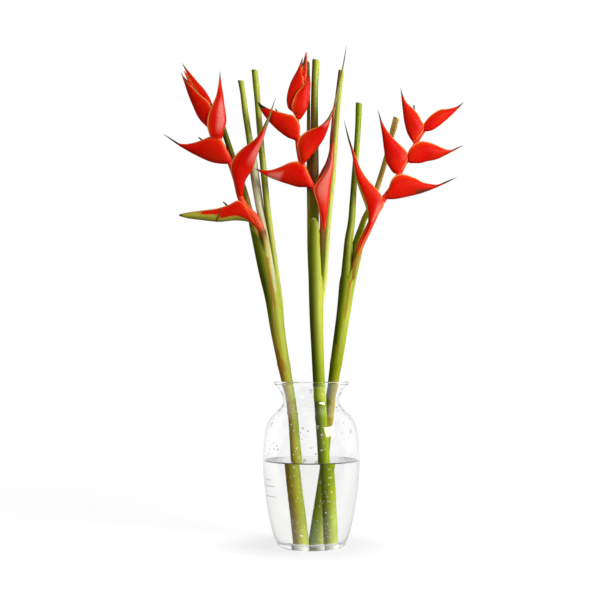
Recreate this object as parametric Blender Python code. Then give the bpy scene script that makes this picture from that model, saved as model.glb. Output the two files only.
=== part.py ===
"""Three cut big bird heliconia shoots standing in a clear glass vase of water.

Millimetres inside this script, metres in the scene. The vase stands on z = 0 with its axis on
x = y = 0, and the front of the part looks along -Y.
"""

import math

import bpy
import bmesh
import numpy as np
from mathutils import Vector

MM = 0.001
GAP = 0.3  # clearance between neighbouring solids

# Vase
VASE_HEIGHT = 244.0
VASE_FOOT_RADIUS = 47.0
VASE_BELLY_RADIUS = 72.0
VASE_NECK_RADIUS = 41.5
VASE_RIM_RADIUS = 56.5
VASE_WALL = 2.7
VASE_FLOOR = 8.2
VASE_SIDES = 36
CORNER_RISE = 3.0  # the slope where the inner wall meets the floor
CORNER_RUN = 4.0
WATER_LEVEL = 127.0

# Plants
STEM_SIDES = 14
STEM_RINGS = 12
PETIOLE_SIDES = 10
PETIOLE_SLANT = 1.0
STALK_SIDES = 10
STALK_RINGS = 22
FLORET_SIDES = 6
FLORET_RINGS = 7
SHELL_WALL = 1.8  # a bract's wall at half height; its lip is thinner, its keel thicker
SHELL_STATIONS = 11
SHELL_STEPS = 4  # from the keel to one lip
KEEL_SHARPNESS = 1.15
KEEL_WALL = 1.4  # thickness at the keel, in walls
THINNEST = 0.1
HOLLOW_WIDTH = 2.1  # a bract is hollow where it is wider and deeper than these, in walls
HOLLOW_DEPTH = 4.0
STATION_BIAS = 0.9  # below 1 it draws the stations towards the tip
FILL_OUT = 0.3  # share of a bract's length in which it reaches its full width
TIP_HALF = 0.45
TIP_DEEP = 0.9
BRACT_ROOT = 6.6
BRACT_MOUTH = 0.45
BRACT_TAPER = 2
FOOT_LEVEL = VASE_FLOOR + GAP
HOLE_RUN = 1.0  # how far a stem's hole starts below the water's own floor
CREASE = 40.0  # faces that meet at a wider angle than this, in degrees, have a sharp edge

# The blooms' outlines are measured in a front view, on the plane of the vase's axis. A point
# nearer to the viewer than that plane is drawn in towards the line of sight by its share.
SIGHT_DISTANCE = 1500.0
SIGHT_HEIGHT = 266.0

# Vase outline above the foot, (height, radius)
VASE_OUTLINE = [
    (0.0, VASE_FOOT_RADIUS),
    (3.0, 49.6),
    (15.0, 55.5),
    (35.0, 61.4),
    (62.0, 66.2),
    (91.0, 70.0),
    (120.0, VASE_BELLY_RADIUS),
    (140.0, 71.6),
    (162.5, 70.0),
    (181.7, 65.3),
    (193.0, 58.5),
    (202.7, 48.4),
    (209.4, 43.4),
    (216.0, VASE_NECK_RADIUS),
    (224.7, 44.0),
    (233.0, 49.6),
    (240.5, 55.2),
]
# Rolled rim, from the outside over the top to the inside
VASE_RIM = [
    (242.6, VASE_RIM_RADIUS),
    (VASE_HEIGHT, VASE_RIM_RADIUS - 1.2),
    (VASE_HEIGHT, VASE_RIM_RADIUS - 2.8),
    (242.2, VASE_RIM_RADIUS - 4.0),
]

# Left shoot. Stem spines are (x, y, z, half width, half depth) at their true places; leaf stalks
# are (x, y, z, radius) and flower stalks (x, z, radius, set back), both in the front view.
LEFT_STEM = [
    (-10.4, -2, 0, 9.0, 9.0),
    (-21.6, -1, 120, 8.4, 8.4),
    (-30.5, 0, 215, 7.5, 7.5),
    (-39.8, 0, 263, 8.9, 8.9),
    (-50.7, 0, 323, 10.5, 10.0),
    (-57.2, -1, 368, 11.6, 10.5),
    (-63.5, -2, 402, 13.2, 11.5),
    (-72.0, -3, 451, 13.4, 12.5),
]
LEFT_STEM_SLANT = 15.0
LEFT_PETIOLES = [
    [(-72.5, 4, 407, 3.0), (-86, 5, 465, 4.5), (-99, 6, 525, 4.6), (-116, 6, 582, 4.5),
     (-128, 5, 628, 4.2)],
    [(-62.5, 5, 396, 4.2), (-69.5, 3, 450, 4.7), (-78, 2, 510, 6.2), (-85, 0, 555, 6.6),
     (-92, -1, 603, 4.9),
     (-99, -2, 648, 4.5), (-104, -3, 684, 4.0), (-106, -3, 698, 4.3)],
    [(-54, 0, 399, 4.6), (-58, -1, 437, 4.7), (-66, -3, 505, 4.8), (-71, -4, 555, 4.8),
     (-75, -5, 597, 4.6),
     (-78, -6, 632, 4.6), (-81, -7, 668, 4.5), (-85, -8, 713, 4.8)],
]
LEFT_PLANE = (-70, 460, -20, -0.15, -0.10)
LEFT_STALK = [
    (-62, 408, 3.6, 11), (-67, 440, 4.4, 6.5), (-74, 470, 5.0, 1), (-85, 491, 5.2, 0),
    (-98, 504, 5.0, 0),
    (-105, 517, 4.8, 0), (-113, 547, 4.6, 0), (-121, 571, 4.6, 0), (-129, 588, 4.4, 0),
    (-137, 603, 4.0, 0),
    (-146, 616, 3.2, 0), (-153, 634, 2.4, 0), (-163, 658, 2.2, 0), (-177, 683, 2.4, 0),
    (-186, 700, 1.5, 0),
    (-191, 710, 0.6, 0),
]

# Middle shoot
MIDDLE_STEM = [
    (24.5, -15, 0, 9.2, 9.2),
    (19.0, -20.5, 120, 8.6, 8.6),
    (13.0, -26.3, 215, 8.4, 8.4),
    (9.3, -27, 293, 8.9, 8.9),
    (7.6, -27, 340, 9.6, 9.6),
    (6.8, -27, 395, 10.3, 10.3),
    (6.2, -28, 440, 10.6, 12.0),
    (6.4, -29, 468, 10.6, 12.5),
]
MIDDLE_STEM_SLANT = 14.0
MIDDLE_PETIOLES = [
    [(6, -23, 425, 4.8), (5.5, -23, 488, 5.8), (5.3, -22, 528, 6.0), (5, -21, 593, 5.8),
     (4.6, -20, 639, 5.5),
     (5, -20, 680, 5.2), (7, -20, 726, 5.5)],
    [(-2.5, -19, 440, 2.6), (-3.0, -16, 500, 3.0), (-3.8, -14, 560, 3.3), (-4.0, -13, 610, 3.0),
     (-4.0, -13, 668, 2.3), (-4.2, -13, 724, 1.8)],
    [(16, -18, 345, 3.2), (19.5, -17, 398, 4.0), (22, -18, 440, 4.2), (27, -18, 504, 4.4),
     (32, -18, 552, 4.4),
     (35, -18, 600, 4.4), (40, -18, 668, 4.5), (45, -18, 710, 4.3)],
]
MIDDLE_PLANE = (15, 460, -37, -0.10, -0.03)
MIDDLE_STALK = [
    (12, 428, 3.6, 5), (15, 456, 4.4, 3), (17, 494, 4.8, 0), (8, 528, 4.6, 0), (-2, 542, 4.5, 0),
    (-8, 556, 4.4, 0), (-14, 570, 4.3, 0), (-18, 587, 4.1, 0), (-20, 602, 4.0, 0), (-21, 621, 3.4, 0),
    (-21, 640, 2.6, 0), (-18, 656, 2.4, 0), (-13, 676, 3.0, 0), (-10, 696, 3.0, 0), (-8.5, 713, 2.4, 0),
    (-7.5, 727, 1.3, 0), (-7, 738, 0.6, 0),
]

# Right shoot
RIGHT_STEM = [
    (2.7, 16, 0, 9.2, 9.2),
    (17.4, 12.2, 120, 8.4, 8.4),
    (29.4, 9, 215, 7.4, 7.4),
    (36.0, 7, 263, 8.2, 8.2),
    (40.6, 6, 295, 8.7, 8.7),
    (47.4, 4, 341, 9.5, 9.5),
    (55.2, 2, 396, 11.6, 11.0),
    (62.0, 0, 430, 13.2, 12.0),
]
RIGHT_STEM_SLANT = -13.0
RIGHT_PETIOLES = [
    [(50, 2, 385, 5.4), (53.5, 2, 419, 6.6), (57.5, 2, 456, 6.0), (60, 2, 482, 5.4), (62, 2, 510, 4.9),
     (64.5, 2, 548, 4.5), (67.5, 2, 588, 4.3), (70, 2, 625, 4.4), (71.5, 2, 661, 4.8)],
    [(62, 7, 392, 4.0), (69, 8, 436, 4.2), (78, 9, 472, 4.2), (88, 10, 505, 4.1), (99, 11, 536, 4.0),
     (109, 12, 568, 3.9), (119, 12, 607, 3.8), (124.5, 12, 629, 4.6), (127, 12, 642, 3.8)],
]
RIGHT_PLANE = (80, 460, -11, 0.0, -0.03)
RIGHT_STALK = [
    (60, 392, 3.4, 5), (65, 420, 4.4, 3), (74, 448, 4.9, 0), (83, 468, 5.0, 0), (93, 489, 4.8, 0),
    (106, 514, 4.5, 0), (120, 533, 4.3, 0), (128, 548, 4.1, 0), (140, 572, 3.9, 0), (149, 586, 3.7, 0),
    (155, 597, 3.5, 0), (161, 609, 3.0, 0), (169, 620, 2.4, 0), (177, 628, 1.8, 0),
]

# Bracts, from the lowest up. Keel and lip run from the flower stalk to the tip, (x, z) in the
# front view. near is given where the lip on the front side lies apart from the one behind it.
# half is half the greatest width, root half the width at the stalk, mouth the share of the width
# that the lips leave open, and swing the way that the tip bends back.
LEFT_BRACTS = [
    dict(keel=[(-74, 461), (-83, 474), (-93, 482), (-110, 485), (-138, 483), (-167, 486),
               (-188, 489), (-198, 492)],
         lip=[(-99, 508), (-103, 513), (-109, 515), (-123, 509), (-138, 504), (-165, 500),
              (-191, 496), (-198, 494)],
         half=8.5, swing=-4),
    dict(keel=[(-108, 520), (-103, 522), (-101, 532), (-98, 546), (-91, 557), (-82, 580), (-71, 610),
               (-63, 636),
               (-53, 670)],
         lip=[(-121, 564), (-119, 574), (-115, 581), (-106, 591), (-83, 609), (-67, 637), (-60, 650),
              (-53, 670)],
         half=9.0, swing=-7),
    dict(keel=[(-123, 574), (-126, 570), (-132, 570), (-147, 572), (-173, 583), (-202, 600),
               (-222, 615)],
         lip=[(-133, 603), (-137, 609), (-143, 611), (-152, 611), (-162, 607), (-173, 603), (-189, 600),
              (-199, 601), (-222, 615)],
         half=9.5, swing=4),
    dict(keel=[(-137, 614), (-131, 616), (-127, 636), (-129, 651), (-132, 674), (-135, 693),
               (-137, 710)],
         lip=[(-152, 616), (-156, 629), (-154, 645), (-148, 660), (-143, 672), (-140, 686), (-137, 710)],
         half=11.0, mouth=0.95, swing=4),
    dict(keel=[(-149, 618), (-158, 627), (-166, 635), (-179, 660), (-185, 675), (-191, 693),
               (-196, 708)],
         lip=[(-147, 630), (-152, 662), (-169, 678), (-180, 690), (-189, 699), (-196, 708)],
         near=[(-148, 630), (-153, 661), (-169, 676), (-180, 687), (-189, 696), (-196, 708)],
         half=7.2, root=4.2, wall=1.2, mouth=0.95, taper=4, swing=4),
    dict(keel=[(-149, 642), (-148, 656), (-158, 679), (-169, 692), (-180, 705), (-194, 722)],
         lip=[(-158, 645), (-166, 664), (-173, 681), (-184, 701), (-194, 722)],
         near=[(-156, 645), (-164, 664), (-172, 681), (-180, 694), (-187, 708), (-194, 722)],
         half=4.0, root=3.2, wall=1.1, mouth=0.8, swing=4),
]
MIDDLE_BRACTS = [
    dict(keel=[(20, 479), (25, 506), (30, 545), (33, 568), (34, 591), (34, 623), (37, 656),
               (44, 692), (50, 725),
               (53, 748)],
         lip=[(4, 535), (12, 554), (22, 573), (27, 591), (28, 610), (30, 628), (34, 656), (42, 692),
              (49, 725),
              (53, 748)],
         near=[(4, 533), (14, 549), (25, 565), (29, 588), (32, 613), (33, 633), (36, 660), (43, 692),
               (49.5, 725),
               (53, 748)],
         half=8.5, mouth=0.75, swing=6),
    dict(keel=[(1, 540), (-3, 537), (-10, 535), (-18, 535), (-33, 539), (-61, 549), (-72, 554),
               (-79, 559),
               (-86, 564)],
         lip=[(-8, 567), (-14, 571), (-21, 574), (-30, 573), (-46, 566), (-61, 561), (-79, 562),
              (-86, 564)],
         half=9.0, swing=2),
    dict(keel=[(-18, 579), (-12, 576), (-6, 576), (0, 583), (11, 596), (19, 608), (25, 623),
               (31, 642), (38, 663)],
         lip=[(-22, 599), (-18, 609), (-10, 617), (0, 622), (12, 627), (23, 637), (31, 651), (38, 663)],
         half=9.0, swing=-6),
    dict(keel=[(-22, 610), (-26, 606), (-34, 609), (-46, 617), (-61, 631), (-74, 648), (-82, 665)],
         lip=[(-20, 630), (-22, 638), (-27, 643), (-35, 645), (-53, 650), (-69, 656), (-82, 665)],
         half=9.0, mouth=0.6, swing=5),
    dict(keel=[(-16, 637), (-7, 651), (-3, 669), (-1, 690), (-2, 704)],
         lip=[(-27, 647), (-33, 660), (-29, 676), (-15, 692), (-2, 704)],
         near=[(-25, 645), (-29, 656), (-26, 668), (-22, 677), (-12, 688), (-2, 704)],
         half=8.5, root=4.2, wall=1.5, mouth=0.95, taper=4, swing=0),
    dict(keel=[(-28, 648), (-34, 653), (-37, 664), (-36, 676), (-30, 695), (-21, 712), (-13, 731)],
         lip=[(-18, 652), (-12, 665), (-10, 684), (-11, 700), (-13, 716), (-13, 731)],
         near=[(-19, 652), (-14, 665), (-12, 684), (-12, 700), (-15, 717), (-13, 731)],
         half=4.9, root=3.4, wall=1.2, mouth=0.8, swing=0),
]
RIGHT_BRACTS = [
    dict(keel=[(69, 437), (79, 460), (85, 484), (82, 503), (75, 523), (66, 551), (61, 584),
               (54, 611), (49, 636)],
         lip=[(109, 513), (105, 523), (97, 533), (85, 546), (75, 561), (65, 586), (58, 606),
              (51, 630), (49, 636)],
         half=9.0, swing=2),
    dict(keel=[(109, 519), (115, 517), (124, 517), (136, 519), (150, 522), (165, 526), (179, 531),
               (193, 537),
               (219, 550)],
         lip=[(121, 549), (127, 553), (134, 555), (141, 554), (155, 549), (169, 542), (179, 540),
              (195, 539),
              (208, 544), (219, 550)],
         half=9.0, swing=0),
    dict(keel=[(134, 559), (128, 557), (123, 557), (118, 563), (112, 574), (109, 591), (106, 615),
               (103, 634),
               (100, 651)],
         lip=[(144, 571), (146, 580), (142, 590), (134, 598), (123, 609), (114, 620), (106, 634),
              (100, 651)],
         half=9.5, swing=0),
    dict(keel=[(149, 574), (154, 571), (162, 571), (174, 574), (188, 577), (201, 583), (214, 590),
               (228, 598)],
         lip=[(145, 587), (150, 596), (157, 601), (164, 604), (175, 603), (184, 600), (197, 594),
              (208, 591),
              (218, 594), (228, 598)],
         half=8.5, swing=0),
    dict(keel=[(162, 608), (156, 605), (151, 606), (145, 614), (140, 630), (137, 652), (134, 684)],
         lip=[(168, 615), (170, 624), (166, 634), (160, 645), (151, 655), (143, 663), (137, 675),
              (134, 684)],
         half=9.0, swing=0),
    dict(keel=[(173, 620), (180, 620), (187, 624), (197, 630), (210, 643), (220, 653), (229, 663)],
         lip=[(172, 636), (178, 642), (186, 648), (194, 652), (205, 653), (219, 657), (229, 663)],
         half=6.5, root=4.2, swing=0),
]

# Florets, (x, z, radius) in the front view from the flower stalk to the tip that looks out of a bract
LEFT_FLORETS = [
    [(-100, 503, 1.8), (-112, 504, 2.2), (-124, 506, 1.8), (-132, 513, 0.8)],
    [(-131, 590, 1.8), (-146, 597, 2.4), (-160, 603, 1.8), (-169, 610, 0.8)],
]
MIDDLE_FLORETS = [
    [(-22, 618, 1.6), (-34, 632, 2.0), (-46, 643, 1.3), (-54, 653, 0.7)],
]
RIGHT_FLORETS = [
    [(163, 612, 1.6), (158, 630, 2.4), (154, 646, 1.8), (154, 659, 0.8)],
]

# Looks: colour, roughness and transmission
LOOKS = {
    "clear_glass": ((0.95, 0.98, 0.97), 0.02, 1.0),
    "water": ((0.93, 0.97, 0.97), 0.0, 1.0),
    "stem_green": ((0.23, 0.33, 0.03), 0.45, 0.0),
    "leaf_stalk_green": ((0.28, 0.38, 0.05), 0.45, 0.0),
    "leaf_stalk_cream": ((0.62, 0.60, 0.32), 0.5, 0.0),
    "leaf_stalk_olive": ((0.34, 0.25, 0.05), 0.5, 0.0),
    "flower_stalk_red": ((0.72, 0.045, 0.018), 0.4, 0.0),
    "bract_red": ((0.80, 0.035, 0.012), 0.35, 0.0),
    "floret_green": ((0.16, 0.20, 0.04), 0.5, 0.0),
}


def clear_scene():
    for item in list(bpy.data.objects):
        bpy.data.objects.remove(item, do_unlink=True)


def material(name):
    """The material of one of the looks, under the look's name."""
    colour, roughness, transmission = LOOKS[name]
    made = bpy.data.materials.new(name)
    made.use_nodes = True
    shader = made.node_tree.nodes["Principled BSDF"]
    shader.inputs["Base Color"].default_value = (*colour, 1.0)
    shader.inputs["Roughness"].default_value = roughness
    shader.inputs["Metallic"].default_value = 0.0
    shader.inputs["Transmission Weight"].default_value = transmission
    return made


def solid(name, points, faces, look):
    """One closed body from points in millimetres, with its faces turned outwards."""
    mesh = bpy.data.meshes.new(name)
    shape = bmesh.new()
    corners = [shape.verts.new(Vector(p) * MM) for p in points]
    for face in faces:
        shape.faces.new([corners[i] for i in face])
    bmesh.ops.recalc_face_normals(shape, faces=shape.faces)
    if shape.calc_volume(signed=True) < 0:
        bmesh.ops.reverse_faces(shape, faces=shape.faces)
    shape.to_mesh(mesh)
    shape.free()
    mesh.shade_smooth()
    mesh.set_sharp_from_angle(angle=math.radians(CREASE))
    mesh.materials.append(look)
    made = bpy.data.objects.new(name, mesh)
    bpy.context.scene.collection.objects.link(made)
    return made


def cut(target, cutter, solver="EXACT"):
    """The cutter's space is taken out of the target."""
    cutter.hide_render = True
    cutter.display_type = "WIRE"
    boolean = target.modifiers.new(cutter.name, "BOOLEAN")
    boolean.operation = "DIFFERENCE"
    boolean.solver = solver
    boolean.object = cutter


def stations(points, shares, reach):
    """Stations at shares of the length of a smooth curve through hand-set points.

    The first reach columns are places; the others, such as radii, follow them.
    """
    given = np.array(points, float)
    steps = np.linalg.norm(np.diff(given[:, :reach], axis=0), axis=1)
    at = np.concatenate([[0.0], np.cumsum(steps)])
    slope = np.gradient(given, at, axis=0)
    fine = np.linspace(0.0, at[-1], 30 * len(given))
    left = np.clip(np.searchsorted(at, fine, side="right") - 1, 0, len(given) - 2)
    width = (at[left + 1] - at[left])[:, None]
    u = (fine[:, None] - at[left][:, None]) / width
    curve = (
        (2 * u**3 - 3 * u**2 + 1) * given[left]
        + (u**3 - 2 * u**2 + u) * width * slope[left]
        + (3 * u**2 - 2 * u**3) * given[left + 1]
        + (u**3 - u**2) * width * slope[left + 1]
    )
    run = np.linalg.norm(np.diff(curve[:, :reach], axis=0), axis=1)
    along = np.concatenate([[0.0], np.cumsum(run)])
    wanted = np.array(shares) * along[-1]
    return np.stack([np.interp(wanted, along, curve[:, k]) for k in range(given.shape[1])], axis=1)


def seen(x, z, y):
    """A place measured in the front view, moved along the line of sight to its depth."""
    share = (SIGHT_DISTANCE + y) / SIGHT_DISTANCE
    return (x * share, y, SIGHT_HEIGHT + (z - SIGHT_HEIGHT) * share)


def depth(plane, x, z):
    """Depth of a bloom's middle plane, which turns with x and leans with z."""
    x0, z0, y0, turn, lean = plane
    return y0 + turn * (x - x0) + lean * (z - z0)


def tube(name, spine, sides, look, count, grow=0.0, slant=0.0, foot=None, longer=0.0):
    """A stem along a spine of (x, y, z, half width, half depth).

    grow widens it, longer runs it on at its lower end, slant raises one side of its top, and
    foot is the level at which its lower end is cut flat.
    """
    rings = stations(spine, np.linspace(0, 1, count), 3)
    path = [Vector(r[:3]) for r in rings]
    points = []
    for i, ring in enumerate(rings):
        ahead = (path[min(i + 1, count - 1)] - path[max(i - 1, 0)]).normalized()
        side = Vector((0, 1, 0)).cross(ahead).normalized()
        front = ahead.cross(side)
        centre = path[i] - ahead * (longer if i == 0 else 0.0)
        for k in range(sides):
            angle = 2 * math.pi * (k + 0.5) / sides
            point = centre + side * (ring[3] + grow) * math.cos(angle)
            point = point + front * (ring[4] + grow) * math.sin(angle)
            if i == 0 and foot is not None:
                point = point + ahead * ((foot - point.z) / ahead.z)
            if i == count - 1:
                point = point - ahead * slant * math.cos(angle)
            points.append(point)
    faces = [tuple(range(sides))[::-1], tuple(range((count - 1) * sides, count * sides))]
    for i in range(count - 1):
        for k in range(sides):
            a, b = i * sides + k, i * sides + (k + 1) % sides
            faces.append((a, b, b + sides, a + sides))
    return solid(name, points, faces, look)


def section(half, mouth):
    """Shares of height and half width from the keel to a lip, along a rounded V."""
    last = math.pi - math.asin(mouth)
    angles = np.linspace(0, last, SHELL_STEPS + 1)
    height = (1 - np.cos(angles)) / (1 - math.cos(last))
    width = np.abs(np.sin(angles)) ** KEEL_SHARPNESS
    return height, width * half


def bract(name, plane, look, keel, lip, half, swing, near=None, mouth=BRACT_MOUTH, root=BRACT_ROOT,
          wall=SHELL_WALL, taper=BRACT_TAPER):
    """A boat-shaped bract: a shell between its keel and its two lips, closed solid at the beak."""
    shares = np.linspace(0, 1, SHELL_STATIONS + 1) ** STATION_BIAS
    low = stations(keel, shares, 2)
    high = {1: stations(lip, shares, 2), -1: stations(near or lip, shares, 2)}
    body = root + (half - root) * np.sin(np.pi / 2 * np.minimum(1, shares / FILL_OUT))
    wide = TIP_HALF + (body - TIP_HALF) * (1 - shares**taper)
    count = SHELL_STATIONS + 1
    row = 2 * SHELL_STEPS + 1
    outer, inner, deep = [], [], []
    for i in range(count):
        height, width = section(1.0, mouth)
        rise = min(np.linalg.norm(high[s][i] - low[i]) for s in (1, -1))
        deep.append(rise)
        floor = min(0.5, KEEL_WALL * wall / max(rise, THINNEST))
        ring_out, ring_in = [], []
        order = [(-1, j) for j in range(SHELL_STEPS, 0, -1)] + [(1, j) for j in range(SHELL_STEPS + 1)]
        for side, j in order:
            up = high[side][i] - low[i]
            if rise < TIP_DEEP:
                up = up + np.array([0.0, TIP_DEEP - rise])
            for ring, lift, reach in (
                (ring_out, height[j], wide[i]),
                (ring_in, floor + (1 - floor) * height[j], max(wide[i] - wall, THINNEST)),
            ):
                x, z = low[i] + up * lift
                y = depth(plane, x, z) + swing * shares[i] ** 2 + side * reach * width[j]
                ring.append(seen(x, z, y))
        outer.extend(ring_out)
        inner.append(ring_in)
    open_here = [wide[i] > HOLLOW_WIDTH * wall and deep[i] > HOLLOW_DEPTH * wall for i in range(count)]
    hollow = max(i for i in range(count) if open_here[i])
    points = list(outer)
    for i in range(hollow + 1):
        points.extend(inner[i])
    shift = count * row
    faces = []
    for i in range(count - 1):
        for j in range(row - 1):
            a = i * row + j
            faces.append((a, a + 1, a + row + 1, a + row))
            if i < hollow:
                b = shift + a
                faces.append((b, b + row, b + row + 1, b + 1))
    for i in range(hollow):
        for j in (0, row - 1):
            a = i * row + j
            faces.append((a, a + row, shift + a + row, shift + a))
    for j in range(row - 1):
        faces.append((j, shift + j, shift + j + 1, j + 1))
    end = hollow * row
    faces.append(tuple(shift + end + j for j in range(row)))
    faces.append((end, shift + end, shift + end + row - 1, end + row - 1, end + 2 * row - 1, end + row))
    for i in range(hollow + 1, count - 1):
        a = i * row
        faces.append((a, a + row - 1, a + 2 * row - 1, a + row))
    last = (count - 1) * row
    faces.append(tuple(last + j for j in range(row)))
    return solid(name, points, faces, look)


def turned(name, outline, look):
    """A closed outline of (height, radius) turned about the vase's axis; ends on it are points."""
    points, faces, rings = [], [], []
    for z, r in outline:
        start = len(points)
        if r == 0.0:
            points.append((0.0, 0.0, z))
            rings.append([start] * VASE_SIDES)
            continue
        for k in range(VASE_SIDES):
            angle = 2 * math.pi * k / VASE_SIDES
            points.append((r * math.cos(angle), r * math.sin(angle), z))
        rings.append(list(range(start, start + VASE_SIDES)))
    for low, high in zip(rings, rings[1:]):
        for k in range(VASE_SIDES):
            n = (k + 1) % VASE_SIDES
            corners = []
            for i in (low[k], low[n], high[n], high[k]):
                if i not in corners:
                    corners.append(i)
            faces.append(tuple(corners))
    return solid(name, points, faces, look)


def wall_radius(z):
    """Inner radius of the vase at a height."""
    heights, radii = zip(*VASE_OUTLINE)
    return float(np.interp(z, heights, radii)) - VASE_WALL


def vase(look):
    corner = VASE_FLOOR + CORNER_RISE
    inside = [(z, r - VASE_WALL) for z, r in reversed(VASE_OUTLINE) if z > corner]
    floor = [(corner, wall_radius(corner)), (VASE_FLOOR, wall_radius(VASE_FLOOR) - CORNER_RUN)]
    floor.append((VASE_FLOOR, 0.0))
    outline = [(0.0, 0.0)] + VASE_OUTLINE + VASE_RIM + inside + floor
    return turned("glass_vase", outline, look)


def water(look):
    low = FOOT_LEVEL
    corner = low + CORNER_RISE
    inside = [(z, r - VASE_WALL - GAP) for z, r in VASE_OUTLINE if corner < z < WATER_LEVEL]
    outline = [(low, 0.0), (low, wall_radius(low) - CORNER_RUN - GAP),
               (corner, wall_radius(corner) - GAP)]
    outline += inside + [(WATER_LEVEL, wall_radius(WATER_LEVEL) - GAP), (WATER_LEVEL, 0.0)]
    return turned("water", outline, look)


def stalk_spine(plane, stalk):
    return [(*seen(x, z, depth(plane, x, z) + back), r, r) for x, z, r, back in stalk]


def petiole_spine(points):
    return [(*seen(x, z, y), r, r) for x, y, z, r in points]


def shoot(side, stem, slant, petioles, plane, stalk, bracts, florets, looks):
    """One flowering shoot: its pseudostem, leaf stalks, flower stalk, bracts and florets."""
    name = f"pseudostem_{side}"
    trunk = tube(name, stem, STEM_SIDES, looks["stem"], STEM_RINGS, slant=slant, foot=FOOT_LEVEL)
    for number, points in enumerate(petioles, 1):
        spine = petiole_spine(points)
        name = f"leaf_stalk_{side}_{number}"
        tube(name, spine, PETIOLE_SIDES, looks["petioles"][number - 1], STEM_RINGS, slant=PETIOLE_SLANT)
        space = tube(f"space_{name}", spine, PETIOLE_SIDES, looks["stem"], STEM_RINGS, grow=GAP, longer=GAP)
        cut(trunk, space)
    spine = stalk_spine(plane, stalk)
    tube(f"flower_stalk_{side}", spine, STALK_SIDES, looks["stalk"], STALK_RINGS)
    space = tube(f"space_flower_stalk_{side}", spine, STALK_SIDES, looks["stalk"], STALK_RINGS, grow=GAP,
                 longer=GAP)
    cut(trunk, space)
    for number, shape in enumerate(bracts, 1):
        name = f"bract_{side}_{number}"
        made = bract(name, plane, looks["bract"], **shape)
        cut(made, space, "MANIFOLD")
    for number, points in enumerate(florets, 1):
        spine = [(*seen(x, z, depth(plane, x, z)), r, r) for x, z, r in points]
        made = tube(f"floret_{side}_{number}", spine, FLORET_SIDES, looks["floret"], FLORET_RINGS)
        cut(made, space)


def main():
    clear_scene()
    stem_green = material("stem_green")
    green = material("leaf_stalk_green")
    cream = material("leaf_stalk_cream")
    olive = material("leaf_stalk_olive")
    plants = {
        "stem": stem_green,
        "stalk": material("flower_stalk_red"),
        "bract": material("bract_red"),
        "floret": material("floret_green"),
    }
    vase(material("clear_glass"))
    body = water(material("water"))
    left = dict(plants, petioles=[olive, cream, green])
    middle = dict(plants, petioles=[green, olive, green])
    right = dict(plants, petioles=[green, olive])
    shoot("left", LEFT_STEM, LEFT_STEM_SLANT, LEFT_PETIOLES, LEFT_PLANE, LEFT_STALK, LEFT_BRACTS,
          LEFT_FLORETS, left)
    shoot("middle", MIDDLE_STEM, MIDDLE_STEM_SLANT, MIDDLE_PETIOLES, MIDDLE_PLANE, MIDDLE_STALK,
          MIDDLE_BRACTS, MIDDLE_FLORETS, middle)
    shoot("right", RIGHT_STEM, RIGHT_STEM_SLANT, RIGHT_PETIOLES, RIGHT_PLANE, RIGHT_STALK, RIGHT_BRACTS,
          RIGHT_FLORETS, right)
    for side, stem in (("left", LEFT_STEM), ("middle", MIDDLE_STEM), ("right", RIGHT_STEM)):
        hole = tube(f"space_pseudostem_{side}", stem, STEM_SIDES, stem_green, STEM_RINGS, grow=GAP,
                    foot=FOOT_LEVEL - HOLE_RUN)
        cut(body, hole)


main()
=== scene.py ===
"""Three cut big bird heliconia shoots in a clear glass vase of water, with the finish of every surface.

Sizes are in millimetres here and turned into metres as each mesh is made. The vase stands on z = 0 with
its axis on x = y = 0, and the front of the arrangement faces -Y.
"""

import math

import bpy
import bmesh
import numpy as np
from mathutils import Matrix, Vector


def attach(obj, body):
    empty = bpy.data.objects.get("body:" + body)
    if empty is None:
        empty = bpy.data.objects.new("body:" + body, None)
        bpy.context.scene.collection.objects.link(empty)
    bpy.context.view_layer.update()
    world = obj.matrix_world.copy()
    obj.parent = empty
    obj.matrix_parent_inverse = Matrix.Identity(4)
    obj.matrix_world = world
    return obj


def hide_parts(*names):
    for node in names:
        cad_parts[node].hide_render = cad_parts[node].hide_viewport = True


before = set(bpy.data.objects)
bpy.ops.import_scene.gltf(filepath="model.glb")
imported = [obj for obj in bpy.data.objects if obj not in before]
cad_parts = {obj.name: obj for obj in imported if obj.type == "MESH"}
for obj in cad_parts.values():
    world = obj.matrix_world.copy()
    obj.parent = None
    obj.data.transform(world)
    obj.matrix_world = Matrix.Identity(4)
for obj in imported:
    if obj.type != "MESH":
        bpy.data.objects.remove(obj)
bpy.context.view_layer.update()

MM = 0.001

# The eye that the front view is measured from: its distance to the vase's axis, and its height
SIGHT_DISTANCE = 1500.0
SIGHT_HEIGHT = 266.0

# Vase and water, with the outline of the wall as (height, radius). Spans round the vase are in degrees.
VASE_HEIGHT = 244.0
VASE_WALL = 2.7
VASE_FLOOR = 8.2
VASE_SIDES = 144
PUNT = 2.4
PUNT_RADIUS = 38.0
FOOT_ROUND = 4.6
FOOT_RADIUS = 46.6
RIM_RADIUS = 54.5
RIM_ROLL = 2.05
CORNER_SEAT = 4.0
CORNER_ROUND = 4.5
INNER_WALL = (13.2, 238.0)
FLOOR_FLAT = 20.0
WATER_LEVEL = 127.0
WATER_OVERLAP = 0.25
WATER_GAP = 0.15
WATER_FOOT = 13.7
WATER_FLAT = 30.0
MENISCUS = 0.6
MENISCUS_REACH = 1.4
THREAD_SIDES = 8
# LINE_RADIUS and LINE_SPAN size a dark thread in the glass at the water's edge: painted shade for the dark line that
# the edge shows.
LINE_RADIUS = 0.75
LINE_SPAN = (176.0, 364.0)
MARK_RADIUS = 0.4
MARK_START = 195.0
MARKS_ON_GLASS = ((101.5, 214.0), (92.5, 219.0), (77.5, 222.0))
FOOT_LEVEL = 8.5
VASE_OUTLINE = [
    (4.0, 51.3), (15.0, 55.5), (35.0, 61.4), (62.0, 66.2), (91.0, 70.0), (120.0, 72.0), (140.0, 71.6),
    (162.5, 70.0), (181.7, 65.3), (193.0, 58.5), (202.7, 48.4), (209.4, 43.4), (216.0, 41.5), (224.7, 44.0),
    (233.0, 49.6), (239.5, 54.5),
]

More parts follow.
